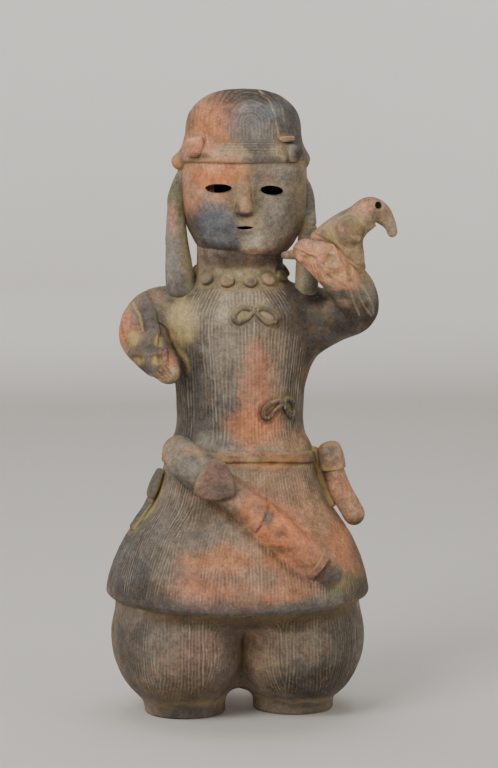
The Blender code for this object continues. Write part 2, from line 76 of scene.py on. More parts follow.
# The body's own axis in the frame, in mm. It stands to the wearer's right of the middle of the figure's box
AXIS_SHIFT = 8.7
AXIS = np.array([(CAD_LOW.x + CAD_HIGH.x) / 2 / METRES - AXIS_SHIFT, 0.0, CAD_LOW.z / METRES])

# Heights, in mm
CAP_TOP = 600.0
BRIM_HEIGHT = 534.0
CHIN_HEIGHT = 428.5
COLLAR_HEIGHT = 421.0
SHOULDER_HEIGHT = 384.0
WAIST_HEIGHT = 290.0
BELT_HEIGHT = 254.0
HEM_HEIGHT = 121.5
ANKLE_HEIGHT = 13.5

# Half widths of the turned body, in mm, how far its sash rides up and its hem hangs to the right, and
# how deep it is for its width
NECK_RADIUS = 41.0
SHOULDER_RADIUS = 70.0
WAIST_RADIUS = 61.0
BELT_RADIUS = 71.0
HEM_RADIUS = 126.5
SASH_RISE = 6.5
HEM_SHIFT = 2.5
BODY_DEPTH = 0.93

# Head, legs and walls, in mm
HEAD_X = 4.5
HEAD_RADIUS = 59.5
HEAD_DEPTH = 0.93
CAP_X = 3.0
BULB_SIZE = np.array([61.0, 86.6, 71.0])
BULB_HEIGHT = 75.0
LEG_X = {"left": 59.0, "right": -63.5}
RING_RADIUS = 39.5
RING_PLACE = {"left": (52.0, 3.0), "right": (-54.0, -6.0)}
CLEFT_X = -2.5
ARCH_HEIGHT = 22.0


# ---- small maths ----


def unit(vectors):
    """Vectors scaled to length one."""
    return vectors / np.maximum(np.linalg.norm(vectors, axis=-1, keepdims=True), 1e-9)


def eased(low, high, values):
    """0 below low, 1 above high, and 3t² - 2t³ between them."""
    t = np.clip((values - low) / (high - low), 0, 1)
    return t * t * (3 - 2 * t)


def mottle(points, size, seed):
    """Smooth random values from -1 to 1: a random lattice, `size` mm apart, blended by 3t² - 2t³."""
    cells = 32
    lattice = np.random.default_rng(seed).random((cells, cells, cells)) * 2 - 1
    q = np.asarray(points, float) / size
    base = np.floor(q).astype(int)
    t = q - base
    t = t * t * (3 - 2 * t)
    total = np.zeros(q.shape[:-1])
    for corner in pairings((0, 1), repeat=3):
        corner = np.array(corner)
        share = np.prod(np.where(corner == 1, t, 1 - t), axis=-1)
        i, j, k = np.moveaxis((base + corner) % cells, -1, 0)
        total += share * lattice[i, j, k]
    return total


def rough(points, size, seed):
    """Mottle in three sizes, each half the last and half as strong."""
    return sum(mottle(points, size / 2**n, seed + n) / 2**n for n in range(3)) / 1.75


def patchy(points, size, seed):
    """Uneven cover, from 0 where there is none to 1."""
    return np.clip(0.5 + 0.9 * rough(points, size, seed), 0, 1)


def smooth_curve(points, per_span=16):
    """A Catmull-Rom curve through the points, ends included, for rows of any length."""
    p = np.asarray(points, float)
    ends = np.vstack([2 * p[0] - p[1], p, 2 * p[-1] - p[-2]])
    t = np.linspace(0, 1, per_span, endpoint=False)[:, None]
    spans = []
    for a, b, c, d in zip(ends, ends[1:], ends[2:], ends[3:]):
        bend = (3 * (b - c) + d - a) * t**3 + (2 * a - 5 * b + 4 * c - d) * t**2
        spans.append((bend + (c - a) * t + 2 * b) / 2)
    return np.vstack(spans + [p[-1:]])


def stepped(curve, spacing):
    """A curve read off again at steps of `spacing` mm, which may be a function of the curve's points."""
    length = np.linalg.norm(np.diff(curve[:, :3], axis=0), axis=1)
    middle = (curve[1:] + curve[:-1]) / 2
    step = spacing(middle) if callable(spacing) else np.full(len(length), float(spacing))
    count = np.concatenate([[0], np.cumsum(length / step)])
    at = np.linspace(0, count[-1], max(3, int(round(count[-1])) + 1))
    return np.column_stack([np.interp(at, count, column) for column in curve.T])


def around(columns, front_share=0.0):
    """Angles once round a form. A front share above 0 sets them closer together at the front."""
    t = np.linspace(-math.pi, math.pi, columns, endpoint=False)
    return t - front_share * np.sin(t)


def body_profile():
    """Half width against height of the torso, belt and skirt, from the neck down to the hem."""
    return [
        (NECK_RADIUS, COLLAR_HEIGHT + 32),
        (NECK_RADIUS + 0.5, COLLAR_HEIGHT + 9),
        (NECK_RADIUS + 4, COLLAR_HEIGHT - 3),
        (NECK_RADIUS + 11, COLLAR_HEIGHT - 11),
        (SHOULDER_RADIUS - 7, SHOULDER_HEIGHT + 15),
        (SHOULDER_RADIUS, SHOULDER_HEIGHT),
        (SHOULDER_RADIUS - 4, SHOULDER_HEIGHT - 39),
        (WAIST_RADIUS + 1.5, WAIST_HEIGHT + 30),
        (WAIST_RADIUS, WAIST_HEIGHT),
        (WAIST_RADIUS + 1.5, BELT_HEIGHT + 18),
        (WAIST_RADIUS + 6, BELT_HEIGHT + 9),
        (BELT_RADIUS, BELT_HEIGHT),
        (BELT_RADIUS + 1.5, BELT_HEIGHT - 12),
        (BELT_RADIUS + 5, BELT_HEIGHT - 24),
        (BELT_RADIUS + 14, BELT_HEIGHT - 48),
        (HEM_RADIUS - 26, HEM_HEIGHT + 63),
        (HEM_RADIUS - 15, HEM_HEIGHT + 45),
        (HEM_RADIUS - 5, HEM_HEIGHT + 22),
        (HEM_RADIUS, HEM_HEIGHT),
    ]


def half_width(height):
    """The body's half width at a height, read off its profile."""
    radii, heights = np.array(body_profile()[::-1]).T
    return np.interp(height, heights, radii)


def on_body(angle, height, proud=0.0):
    """A point at an angle in degrees and a height round the body, standing proud of its wall."""
    turn = math.radians(angle)
    radius = half_width(height)
    return ((radius + proud) * math.sin(turn), -(radius * BODY_DEPTH + proud) * math.cos(turn), height)


def along_body(stations):
    """Stations of a roll, each from its angle, its height, how far it stands proud, and its radius."""
    return [(*on_body(angle, height, proud), radius) for angle, height, proud, radius in stations]


def bent(angle, height):
    """The body's outward direction at an angle and height."""
    return np.array(on_body(angle, height, 1.0)) - np.array(on_body(angle, height))


# ---- forms: a grid of points, row by row, and a rough distance to the form ----


def grid_normals(grid):
    """Outward directions of a grid: the cross product of its two neighbours' differences."""
    across = np.roll(grid, -1, 1) - np.roll(grid, 1, 1)
    along = np.gradient(grid, axis=0)
    normals = unit(np.cross(across, along))
    centre = grid.mean(axis=1, keepdims=True)
    if np.sum(normals * (grid - centre)) < 0:
        normals = -normals
    return normals


class Form:
    """A closed clay form. Its grid's first and last rows are poles.

    The soil along its joints is narrower by the crisp factor, and luted is how far the joints were filled,
    in mm.
    """

    crisp = 1.0
    luted = 0.0

    def push(self, amount):
        """Moves each point out along its normal by its own amount, in mm."""
        amount[[0, -1]] = amount[[1, -2]].mean(axis=1, keepdims=True)
        self.grid = self.grid + grid_normals(self.grid) * amount[..., None]
        self.grid[[0, -1]] = self.grid[[0, -1]].mean(axis=1, keepdims=True)


class Turned(Form):
    """A turned form. Its points are (cx + r sin t, cy - d r cos t, z), for the profile's (r, z)."""

    def __init__(
        self, profile, columns=360, depth=1.0, centre=(0, 0), spacing=3.0, front_share=0.0, per_span=16
    ):
        curve = smooth_curve([(r, 0, z) for r, z in profile], per_span)
        curve[:, 0] = np.maximum(curve[:, 0], 0)
        order = np.argsort(curve[:, 2], kind="stable")
        self.heights = curve[order, 2]
        self.radii = curve[order, 0]
        curve = np.vstack([[0, 0, curve[0, 2]], curve, [0, 0, curve[-1, 2]]])
        line = stepped(curve, spacing)
        radius, _, height = line.T
        self.depth = depth
        self.centre = centre
        turn = around(columns, front_share)
        x = centre[0] + radius[:, None] * np.sin(turn)
        y = centre[1] - depth * radius[:, None] * np.cos(turn)
        self.grid = np.stack([x, y, np.broadcast_to(height[:, None], x.shape)], axis=-1)

    def radius(self, height):
        """The profile's half width at a height."""
        return np.interp(height, self.heights, self.radii)

    def field(self, points):
        """How far a point is outside the wall, measured sideways and turned square to the slope."""
        z = points[..., 2]
        reach = np.hypot(points[..., 0] - self.centre[0], (points[..., 1] - self.centre[1]) / self.depth)
        slope = (self.radius(z + 1) - self.radius(z - 1)) / 2
        beyond = np.maximum(z - self.heights[-1], self.heights[0] - z)
        return np.maximum((reach - self.radius(z)) / np.sqrt(1 + slope**2), beyond)


class Roll(Form):
    """A rolled length of clay: an ellipse carried along a smooth path, with a round end at each side.

    Its points are C + a cos t U + b sin t V, where C runs along the path, V is the front direction
    squared to the path, U is square to both, and a and b are the half width and half thickness.
    """

    def __init__(self, points, columns=120, spacing=2.0, front=(0, -1, 0), blunt=(1.0, 1.0)):
        points = np.array([tuple(p) for p in points], float)
        if points.shape[1] == 4:
            points = np.column_stack([points, points[:, 3]])
        line = stepped(smooth_curve(points), spacing)
        self.centre = line[:, :3]
        self.wide = line[:, 3]
        self.thick = line[:, 4]
        self.blunt = blunt
        self.along = unit(np.gradient(self.centre, axis=0))
        front = np.asarray(front, float)
        self.front = unit(front - (self.along @ front)[:, None] * self.along)
        self.side = np.cross(self.along, self.front)
        rows = np.radians(np.linspace(90, 0, 9))[:-1]
        ends = []
        for sign, row, share in ((-1, 0, blunt[0]), (1, -1, blunt[1])):
            rise = min(self.wide[row], self.thick[row]) * share
            ends.append(self.centre[row] + sign * rise * np.sin(rows)[:, None] * self.along[row])
        centre = np.vstack([ends[0], self.centre, ends[1][::-1]])
        shrink = np.concatenate([np.cos(rows), np.ones(len(line)), np.cos(rows)[::-1]])
        pick = np.clip(np.arange(len(centre)) - len(rows), 0, len(line) - 1)
        turn = np.linspace(0, 2 * math.pi, columns, endpoint=False)
        a = (self.wide[pick] * shrink)[:, None] * np.cos(turn)
        b = (self.thick[pick] * shrink)[:, None] * np.sin(turn)
        sides = a[..., None] * self.side[pick][:, None]
        self.grid = centre[:, None] + sides + b[..., None] * self.front[pick][:, None]

    def local(self, points):
        """Nearest station to each point, and the point's offsets along, across and to the front."""
        flat = np.asarray(points, float).reshape(-1, 3)
        nearest = np.empty(len(flat), int)
        for start in range(0, len(flat), 20000):
            part = flat[start : start + 20000]
            gap = (part**2).sum(1)[:, None] - 2 * part @ self.centre.T + (self.centre**2).sum(1)
            nearest[start : start + 20000] = gap.argmin(axis=1)
        offset = flat - self.centre[nearest]
        parts = [np.einsum("ij,ij->i", offset, axes[nearest]) for axes in (self.along, self.side, self.front)]
        return nearest, parts

    def field(self, points):
        """How far a point is outside: its offset over the ellipse's size, less one, times the lesser size."""
        nearest, (forward, sideways, frontways) = self.local(points)
        a = self.wide[nearest]
        b = self.thick[nearest]
        least = np.minimum(a, b)
        steep = np.zeros(len(self.centre))
        steep[0] = 1 / self.blunt[0]
        steep[-1] = 1 / self.blunt[1]
        run = forward / least * steep[nearest]
        far = (np.sqrt((sideways / a) ** 2 + (frontways / b) ** 2 + run**2) - 1) * least
        return far.reshape(np.asarray(points).shape[:-1])


class Ball(Form):
    """A pressed ball: half sizes a, b and c along its own three axes, which lean over to one side."""

    def __init__(self, centre, size, lean=0.0, columns=48, rows=25):
        self.centre = np.asarray(centre, float)
        self.size = np.asarray(size, float)
        c, s = math.cos(lean), math.sin(lean)
        self.axes = np.array([[c, 0, s], [0, 1, 0], [-s, 0, c]])
        fall = np.linspace(0, math.pi, rows)[:, None]
        turn = np.linspace(0, 2 * math.pi, columns, endpoint=False)
        flat = [np.sin(fall) * np.cos(turn), np.sin(fall) * np.sin(turn)]
        ball = np.stack([*flat, np.cos(fall) * np.ones(columns)], -1)
        self.grid = self.centre + (ball * self.size) @ self.axes.T

    def field(self, points):
        """Near the surface, the distance: k0 (k0 - 1) / k1, for k0 = |p / size| and k1 = |p / size²|."""
        p = (np.asarray(points) - self.centre) @ self.axes
        k0 = np.linalg.norm(p / self.size, axis=-1)
        k1 = np.linalg.norm(p / self.size**2, axis=-1)
        return k0 * (k0 - 1) / np.maximum(k1, 1e-9)


class Slab(Form):
    """A flat slab with a rounded edge: an outline r(t) in the plane of U and V, and a thickness along N.

    Its rows run from the middle of its front face out over the edge to the middle of its back:
    C + r(t) g U cos t + r(t) g V sin t + h N, where g and h go round a squared circle.
    """

    def __init__(self, centre, outline, thickness, facing, columns=120, rows=40, square=5.0):
        self.centre = np.asarray(centre, float)
        normal = unit(np.asarray(facing, float))
        across = unit(np.cross(normal, (0, 0, 1.0)))
        across = across if across[0] > 0 else -across
        up = np.cross(normal, across)
        up = up if up[2] > 0 else -up
        self.axes = np.stack([across, up, normal])
        shape = smooth_curve([(x, y, 0) for x, y in outline] + [(*outline[0], 0)])
        angle = np.arctan2(shape[:, 1], shape[:, 0])
        order = np.argsort(angle)
        turn = np.linspace(-math.pi, math.pi, columns, endpoint=False)
        self.reach = (angle[order], np.hypot(shape[order, 0], shape[order, 1]))
        self.thickness = thickness
        self.square = square
        radius = np.interp(turn, *self.reach, period=2 * math.pi)
        fall = np.linspace(0, math.pi, rows)
        out = np.abs(np.sin(fall)) ** (2 / square)
        rise = np.sign(np.cos(fall)) * np.abs(np.cos(fall)) ** (2 / square) * thickness / 2
        flat = out[:, None, None] * (radius * np.cos(turn))[:, None] * across
        flat = flat + out[:, None, None] * (radius * np.sin(turn))[:, None] * up
        self.grid = self.centre + flat + rise[:, None, None] * normal

    def field(self, points):
        """Near the surface, the distance: (k - 1) / |slope of k|, for k = (g^s + h^s)^(1/s)."""
        p = (np.asarray(points) - self.centre) @ self.axes.T
        radius = np.interp(np.arctan2(p[..., 1], p[..., 0]), *self.reach, period=2 * math.pi)
        out = np.hypot(p[..., 0], p[..., 1]) / radius
        rise = np.abs(p[..., 2]) / (self.thickness / 2)
        k = np.maximum(out**self.square + rise**self.square, 1e-9) ** (1 / self.square)
        power = self.square - 1
        slope = np.hypot((out / k) ** power / radius, (rise / k) ** power / (self.thickness / 2))
        return (k - 1) / np.maximum(slope, 1e-6)


def merged(first, second, reach):
    """A smooth lesser of two distances: the lesser, less reach/4 (1 - |difference| / reach)²."""
    near = np.maximum(1 - np.abs(first - second) / reach, 0)
    return np.minimum(first, second) - reach / 4 * near**2


def lute(forms, others, reach):
    """Clay smeared into the joints: each form swells by reach/4 (1 - |f| / reach)², f from another."""

    def swell(form):
        """How far each point of a form swells, in mm."""
        points = form.grid
        low = points.reshape(-1, 3).min(0) - reach
        high = points.reshape(-1, 3).max(0) + reach
        amount = np.zeros(points.shape[:-1])
        for other in [*forms, *others]:
            box = other.grid.reshape(-1, 3)
            if other is form or (box.min(0) > high).any() or (box.max(0) < low).any():
                continue
            inside = ((points > box.min(0) - reach) & (points < box.max(0) + reach)).all(-1)
            gap = np.full(points.shape[:-1], float(reach))
            gap[inside] = other.field(points[inside])
            amount = np.maximum(amount, reach / 4 * np.maximum(1 - np.abs(gap) / reach, 0) ** 2)
        return amount

    for form, amount in [(form, swell(form)) for form in forms]:
        form.push(amount)
        form.luted = reach / 5


def nearness(points, forms):
    """Second smallest |distance| to the forms, in mm: small only where two of them meet."""
    gaps = np.stack([np.abs(form.field(points)) for form in forms])
    return np.partition(gaps, 1, axis=0)[1]


# ---- marks on the clay ----


def seen_from_front(points, line):
    """Distance in the XZ plane from each point to a line of (x, z) places."""
    p = np.asarray(points)[..., [0, 2]]
    line = np.asarray(line, float)
    best = np.full(p.shape[:-1], 1e9)
    for a, b in zip(line, line[1:]):
        run = b - a
        t = np.clip(((p - a) @ run) / max(run @ run, 1e-9), 0, 1)
        best = np.minimum(best, np.linalg.norm(p - a - t[..., None] * run, axis=-1))
    return best


def round_body(points, line):
    """Distance over the body's wall from each point to a line of (angle, height) places."""
    turn = np.degrees(np.arctan2(points[..., 0], -points[..., 1] / BODY_DEPTH))
    reach = np.radians(1) * half_width(points[..., 2])
    middle = line[0][0]
    flat = np.stack([(turn - middle) * reach, np.zeros_like(turn), points[..., 2]], -1)
    places = [((angle - middle) * math.radians(1) * float(half_width(z)), z) for angle, z in line]
    return seen_from_front(flat, places)


def stroke(distance, width, edge=0.5):
    """1 along the middle of a stroke, 0 past its half width, with an edge that is a share of the width."""
    return 1 - eased(width * (1 - edge), width, distance)


def traced(points, line, width, edge=0.5):
    """A stroke along a line of (x, z) places, seen from the front."""
    return stroke(seen_from_front(points, line), width, edge)


def facing_front(normals):
    """1 where the clay faces the front, 0 where it faces sideways or back."""
    return np.clip(-normals[..., 1] * 2.5, 0, 1)


def combed(points, spacing, strokes=9, seed=0, centre=(0, 0)):
    """Comb scoring, as a phase counted in teeth and how hard the comb pressed.

    The comb is pulled down the wall in strokes side by side. In each stroke the teeth run parallel, so a
    line's phase is the distance along that stroke's tangent, over the spacing, with a slow waver.
    """
    x = points[..., 0] - centre[0]
    y = points[..., 1] - centre[1]
    turn = np.arctan2(x, -y)
    share = 2 * math.pi / strokes
    lane = np.round((turn + 0.10 * mottle(points, 55, seed + 7)) / share)
    angle = lane * share
    across = x * np.cos(angle) + y * np.sin(angle)
    long_points = points * np.array([1, 1, 0.3])
    waver = 1.3 * mottle(long_points, 24, seed + 1) + 0.6 * mottle(long_points, 7, seed + 4)
    phase = (across + waver) / spacing + lane * 0.37
    return phase, pressed(points * np.array([1, 1, 0.5]), seed)


def pressed(points, seed):
    """How hard a comb was pressed, from 0.1 to 1. It skips in places some 20 mm apart."""
    return np.clip(0.8 + 0.8 * mottle(points, 20, seed + 2), 0.1, 1)


# ---- meshes ----


def mesh_object(name, grid):
    """A closed mesh from a grid: quads between the rows, and a fan at each pole."""
    rows, columns = grid.shape[:2]
    body = grid[1:-1].reshape(-1, 3)
    points = np.vstack([grid[0].mean(0), body, grid[-1].mean(0)])
    index = 1 + np.arange((rows - 2) * columns).reshape(rows - 2, columns)
    after = np.roll(index, -1, 1)
    quads = np.stack([index[:-1], index[1:], after[1:], after[:-1]], -1).reshape(-1, 4)
    last = len(points) - 1
    top = np.stack([np.zeros(columns, int), index[0], after[0]], -1)
    foot = np.stack([np.full(columns, last), after[-1], index[-1]], -1)
    a, b, c = (points[quads[:, k]] for k in (0, 1, 2))
    volume = np.einsum("ij,ij->i", a, np.cross(b, c)).sum()
    if volume < 0:
        quads, top, foot = quads[:, ::-1], top[:, ::-1], foot[:, ::-1]
    mesh = bpy.data.meshes.new(name)
    mesh.from_pydata((points + AXIS) * METRES, [], quads.tolist() + top.tolist() + foot.tolist())
    thing = bpy.data.objects.new(name, mesh)
    bpy.context.scene.collection.objects.link(thing)
    return thing


def mesh_points(mesh):
    """The mesh's points in mm about the body axis."""
    flat = np.empty(len(mesh.vertices) * 3, np.float32)
    mesh.vertices.foreach_get("co", flat)
    return flat.reshape(-1, 3).astype(float) / METRES - AXIS


def set_points(mesh, points):
    """Moves the mesh's points to places in mm about the body axis."""
    flat = ((points + AXIS) * METRES).astype(np.float32).ravel()
    mesh.vertices.foreach_set("co", flat)
    mesh.update()


def fused(name, forms, cutters=()):
    """One skin from overlapping closed forms, less the forms that cut it."""
    made = [mesh_object(f"{name}_{n}", form.grid) for n, form in enumerate([*forms, *cutters])]
    base = made[0]
    for n, other in enumerate(made[1:]):
        cut = base.modifiers.new(f"fuse_{n}", "BOOLEAN")
        cut.operation = "UNION" if n < len(forms) - 1 else "DIFFERENCE"
        cut.solver = "MANIFOLD"
        cut.object = other
    graph = bpy.context.evaluated_depsgraph_get()
    mesh = bpy.data.meshes.new_from_object(base.evaluated_get(graph))
    for thing in made:
        bpy.data.meshes.remove(thing.data)
    mesh.name = name
    cleaned(mesh)
    piece = bpy.data.objects.new(name, mesh)
    bpy.context.scene.collection.objects.link(piece)
    if len(mesh.polygons) == 0:
        raise RuntimeError(f"{name}: its forms did not fuse")
    return piece


def cleaned(mesh, reach=0.01, rounds=3):
    """Corners closer than the reach, in mm, are joined, and whatever bounds no solid is taken away."""
    work = bmesh.new()
    work.from_mesh(mesh)
    for _ in range(rounds):
        bmesh.ops.remove_doubles(work, verts=work.verts, dist=reach * METRES)
        between = [corner for corner in work.verts if len(corner.link_edges) == 2]
        bmesh.ops.dissolve_verts(work, verts=between)
        corners = {}
        for face in work.faces:
            corners.setdefault(frozenset(face.verts), []).append(face)
        stray = [face for faces in corners.values() if len(faces) > 1 for face in faces]
        bmesh.ops.delete(work, geom=stray, context="FACES")
        bmesh.ops.holes_fill(work, edges=[edge for edge in work.edges if edge.is_boundary])
        bmesh.ops.delete(work, geom=[edge for edge in work.edges if edge.is_wire], context="EDGES")
    work.to_mesh(mesh)
    work.free()


def wiped(piece, forms, reach, rounds=6):
    """Joints wiped with a wet finger: points near a joint move to the mean of their neighbours."""
    mesh = piece.data
    edges = np.empty(len(mesh.edges) * 2, np.int32)
    mesh.edges.foreach_get("vertices", edges)
    a, b = edges.reshape(-1, 2).T
    points = mesh_points(mesh)
    weight = (1 - eased(reach * 0.4, reach, nearness(points, forms)))[:, None]
    total = len(points)
    count = np.maximum(np.bincount(a, minlength=total) + np.bincount(b, minlength=total), 1)
    for _ in range(rounds):
        sums = [np.bincount(a, axis[b], total) + np.bincount(b, axis[a], total) for axis in points.T]
        points = points + weight * 0.6 * (np.stack(sums, -1) / count[:, None] - points)
    set_points(mesh, points)


def sharpened(mesh, angle=math.radians(58)):
    """Smooth shading, broken only where the clay was cut."""
    mesh.shade_smooth()
    mesh.set_sharp_from_angle(angle=angle)


# ---- colours ----

# sRGB hex code of each colour, and what it is on the clay. Three of them are also laid on as painted shade.
COLOURS = {
    # The deepest colour: smoke on the clay, and also painted shadow in a hollow and on the crown
    "black": ("221f1c", "Deepest soot, in hollows"),
    # Smoke on the clay, and also painted shade under the chin, jaw, nose and hem
    "soot": ("3f3b36", "Clay blackened by smoke"),
    "slate": ("5d5954", "Clay smoked grey"),
    "smoke": ("64676b", "Clay smoked bluish grey"),
    "ash": ("8b8478", "Clay smoked pale grey"),
    "bone": ("bdb097", "Palest clay"),
    # Brown clay, and also painted shade in scores and folds, and under the sword, a lug and the hem
    "umber": ("574636", "Brown clay in shadowed folds"),
    "olive": ("6d6650", "Smoked clay under a film of soil"),
    "sand": ("b5a07c", "Yellowish clay"),
    "dun": ("8b7967", "Brownish grey ground of most of the clay"),
    "fawn": ("a88567", "Light brown clay"),
    "salmon": ("b88064", "Clay fired pinkish orange"),
    "ember": ("c67b50", "Clay fired strongest orange"),
    "rose": ("e0a27e", "Pale pinkish clay of the hand"),
    "plum": ("80655a", "Clay flushed purplish brown"),
    "ridge": ("c0b195", "Dust on the comb's ridges"),
    "groove": ("2b2825", "Dark of the comb's grooves"),
    "soil": ("b3a066", "Ochre soil in joints and recesses"),
    "grit": ("cdbfa6", "Pale grit in the clay"),
    "warm": ("a9714a", "Warm cast of the cloudy mottling"),
    "cool": ("50545a", "Cool cast of the cloudy mottling"),
    "floor": ("c9c6c1", "Studio floor"),
}


def linear(code):
    """A colour's hex code turned into linear light."""
    s = np.array([int(code[i : i + 2], 16) for i in (0, 2, 4)]) / 255
    return np.where(s <= 0.04045, s / 12.92, ((s + 0.055) / 1.055) ** 2.4)


class HaniwaColours(bpy.types.PropertyGroup):
    """Colours that the firing, the comb and the soil leave on the clay, and the painted shade laid on it"""

    __annotations__ = {
        name: bpy.props.FloatVectorProperty(
            name=name.capitalize(),
            description=words,
            subtype="COLOR",
            size=3,
            min=0,
            max=1,
            default=linear(code).tolist(),
        )
        for name, (code, words) in COLOURS.items()
    }


def measure(name, description, default, unit="LENGTH"):
    """A property that holds a size in metres, or a lamp's power in watts."""
    return bpy.props.FloatProperty(name=name, description=description, default=default, min=0, unit=unit)


class HaniwaSizes(bpy.types.PropertyGroup):
    """Sizes of the comb, the walls and the trimmings, and the strengths of the lamps"""

    torso_teeth: measure("Torso comb", "Spacing of the comb's teeth on the torso", 0.0036)
    skirt_teeth: measure("Skirt comb", "Spacing of the comb's teeth on the skirt", 0.0033)
    trousers_teeth: measure("Trousers comb", "Spacing of the comb's teeth on the trousers", 0.0033)
    comb_depth: measure("Comb depth", "Height of the comb's ridges over its grooves", 0.0003)
    wall: measure("Body wall", "Thickness of the hollow body's wall", 0.0105)
    head_wall: measure("Head wall", "Thickness of the hollow head's wall", 0.0095)
    pellet: measure("Pellet", "Radius of a clay pellet at the collar", 0.0073)
    ribbon: measure("Ribbon", "Radius of the clay roll that the ribbons are tied from", 0.0024)
    soil: bpy.props.FloatProperty(
        name="Soil",
        description="How much of the ochre soil is left",
        default=0.85,
        min=0,
        max=1,
        subtype="FACTOR",
    )
    key_power: measure("Key light", "Power of the soft light at the upper left", 96, "POWER")
    fill_power: measure("Fill light", "Power of the soft light at the right", 12, "POWER")
    top_power: measure("Top light", "Power of the soft light overhead", 42, "POWER")
    wash_power: measure("Wall wash", "Power of each lamp that lights the backdrop", 205, "POWER")


def tone(name):
    """A colour's linear red, green and blue."""
    return np.array(getattr(bpy.context.scene.haniwa_colours, name))


def size_of(name):
    """A size in mm."""
    return getattr(bpy.context.scene.haniwa_sizes, name) / METRES


def fired(points, ground, patches, seed):
    """Colours the kiln left, and patches of painted shade: each patch lies over the ones before it, inside a
    ragged ellipsoid.

    A patch's share is its strength times 1 - s(d), where d is the distance in its own half sizes plus a
    mottle of a third, and s rises smoothly from 0 at 0.4 to 1 at 1.2.
    """
    colour = np.tile(tone(ground), (len(points), 1))
    for n, (place, size, name, strength) in enumerate(patches):
        ragged = 0.36 * rough(points, 24, seed + 5 * n) + 0.16 * mottle(points, 6, seed + 5 * n + 3)
        reach = np.linalg.norm((points - np.array(place, float)) / np.array(size, float), axis=1) + ragged
        share = strength * (1 - eased(0.4, 1.2, reach))
        colour += share[:, None] * (tone(name) - colour)
    return colour


def painted(piece, colour, **values):
    """Keeps the firing's colour, and each named value, as attributes of the points."""
    mesh = piece.data
    rgba = np.column_stack([colour, np.ones(len(colour))]).astype(np.float32)
    mesh.attributes.new("fired", "FLOAT_COLOR", "POINT").data.foreach_set("color", rgba.ravel())
    for name, value in values.items():
        mesh.attributes.new(name, "FLOAT", "POINT").data.foreach_set("value", value.astype(np.float32))


def worked(
    piece, forms, ground, patches, seed, comb=None, marks=None, dirt=5.0, fade=7.0, joint_shade=0.75, beside=()
):
    """Finishes a fused piece: comb scoring, carved marks, the firing's colours, the soil in its joints, and
    painted shade in its joints and hollows.

    The forms beside it belong to other pieces, and also have joints with it. comb(points) gives the phase
    and the pressure of the comb. marks(points, normals) gives how far each point stands out in mm, the
    soil on it, what share of the comb is left there, and then any stains, each a share and a colour.
    """
    mesh = piece.data
    points = mesh_points(mesh)
    flat = np.empty(len(points) * 3, np.float32)
    mesh.vertices.foreach_get("normal", flat)
    normals = flat.reshape(-1, 3).astype(float)
    fields = np.stack([form.field(points) for form in forms])

    # Skin that lies deep inside the forms is the wall of the hollow, which is left plain, and darkened as
    # painted shade
    outer = 1 - eased(1.2, 3.4, -fields.min(axis=0))

    # gap is how far the second nearest form is, and near counts it by how crisp the joint is
    gaps = np.abs(np.vstack([fields] + [form.field(points)[None] for form in beside]))
    gap = near = np.full(len(points), 99.0)
    if len(gaps) > 1:
        crisp, luted = np.array([(form.crisp, form.luted) for form in [*forms, *beside]]).T
        first, second = np.argpartition(gaps, 1, axis=0)[:2]
        gap = np.take_along_axis(gaps, second[None], 0)[0] - np.maximum(luted[first], luted[second])
        gap = np.maximum(gap, 0)
        near = gap * np.maximum(crisp[first], crisp[second])

    phase, press = comb(points) if comb else np.zeros((2, len(points)))
    press = press * outer * eased(1.5, fade, near)
    lift = 0.35 * mottle(points, 9, seed + 50) + 0.5 * mottle(points, 30, seed + 51)
    soil = (1 - eased(1.0, dirt, near)) * patchy(points, 11, seed + 52)
    stains = []
    if marks:
        raised, dirty, kept, *stains = marks(points, normals)
        press = press * kept
        lift = lift + raised
        soil = np.maximum(soil, dirty)

    # Each tooth leaves a rounded ridge, cos⁴ of the phase less about its mean, and the foot stays flat
    ridges = np.cos(math.pi * phase) ** 4 - 0.36
    lift = lift * outer * eased(-1, 5, points[:, 2]) + ridges * press * size_of("comb_depth")
    set_points(mesh, points + normals * lift[:, None])

    # Joints are darkened, partly as dark joints and partly as painted shade, most of all where they face
    # down, and less where they were filled
    crack = (1 - eased(0.4, 2.0, gap)) * (0.75 + 0.25 * mottle(points, 8, seed + 53))
    crack = crack * np.clip(0.75 - 0.5 * normals[:, 2], 0, 1)
    if len(gaps) > 1:
        crack = crack * np.where(np.minimum(luted[first], luted[second]) > 0, 0.35, 1)
    colour = fired(points, ground, patches, seed)
    for share, name in stains:
        colour += share[:, None] * (tone(name) - colour)
    # Painted shade along the joints, together with their dark: the colour is multiplied down by the joint
    # mask
    colour = colour * (1 - joint_shade * crack)[:, None]
    # Painted shade: the hollow's wall, seen through the eyes and mouth, darkened to 0.15 of its colour
    colour = colour * (0.15 + 0.85 * outer)[:, None]
    painted(piece, colour, phase=phase, press=press, soil=np.clip(soil * (1 - crack) * outer, 0, 1))
    sharpened(mesh)


# ---- the clay ----


def node(tree, kind, inputs, output=0, **settings):
    """Adds a node, sets its settings, sets or links its inputs, and gives one of its outputs."""
    made = tree.nodes.new("ShaderNode" + kind)
    for name, value in settings.items():
        setattr(made, name, value)
    for name, value in inputs.items():
        if isinstance(value, bpy.types.NodeSocket):
            tree.links.new(value, made.inputs[name])
        else:
            made.inputs[name].default_value = value
    return made.outputs[output]


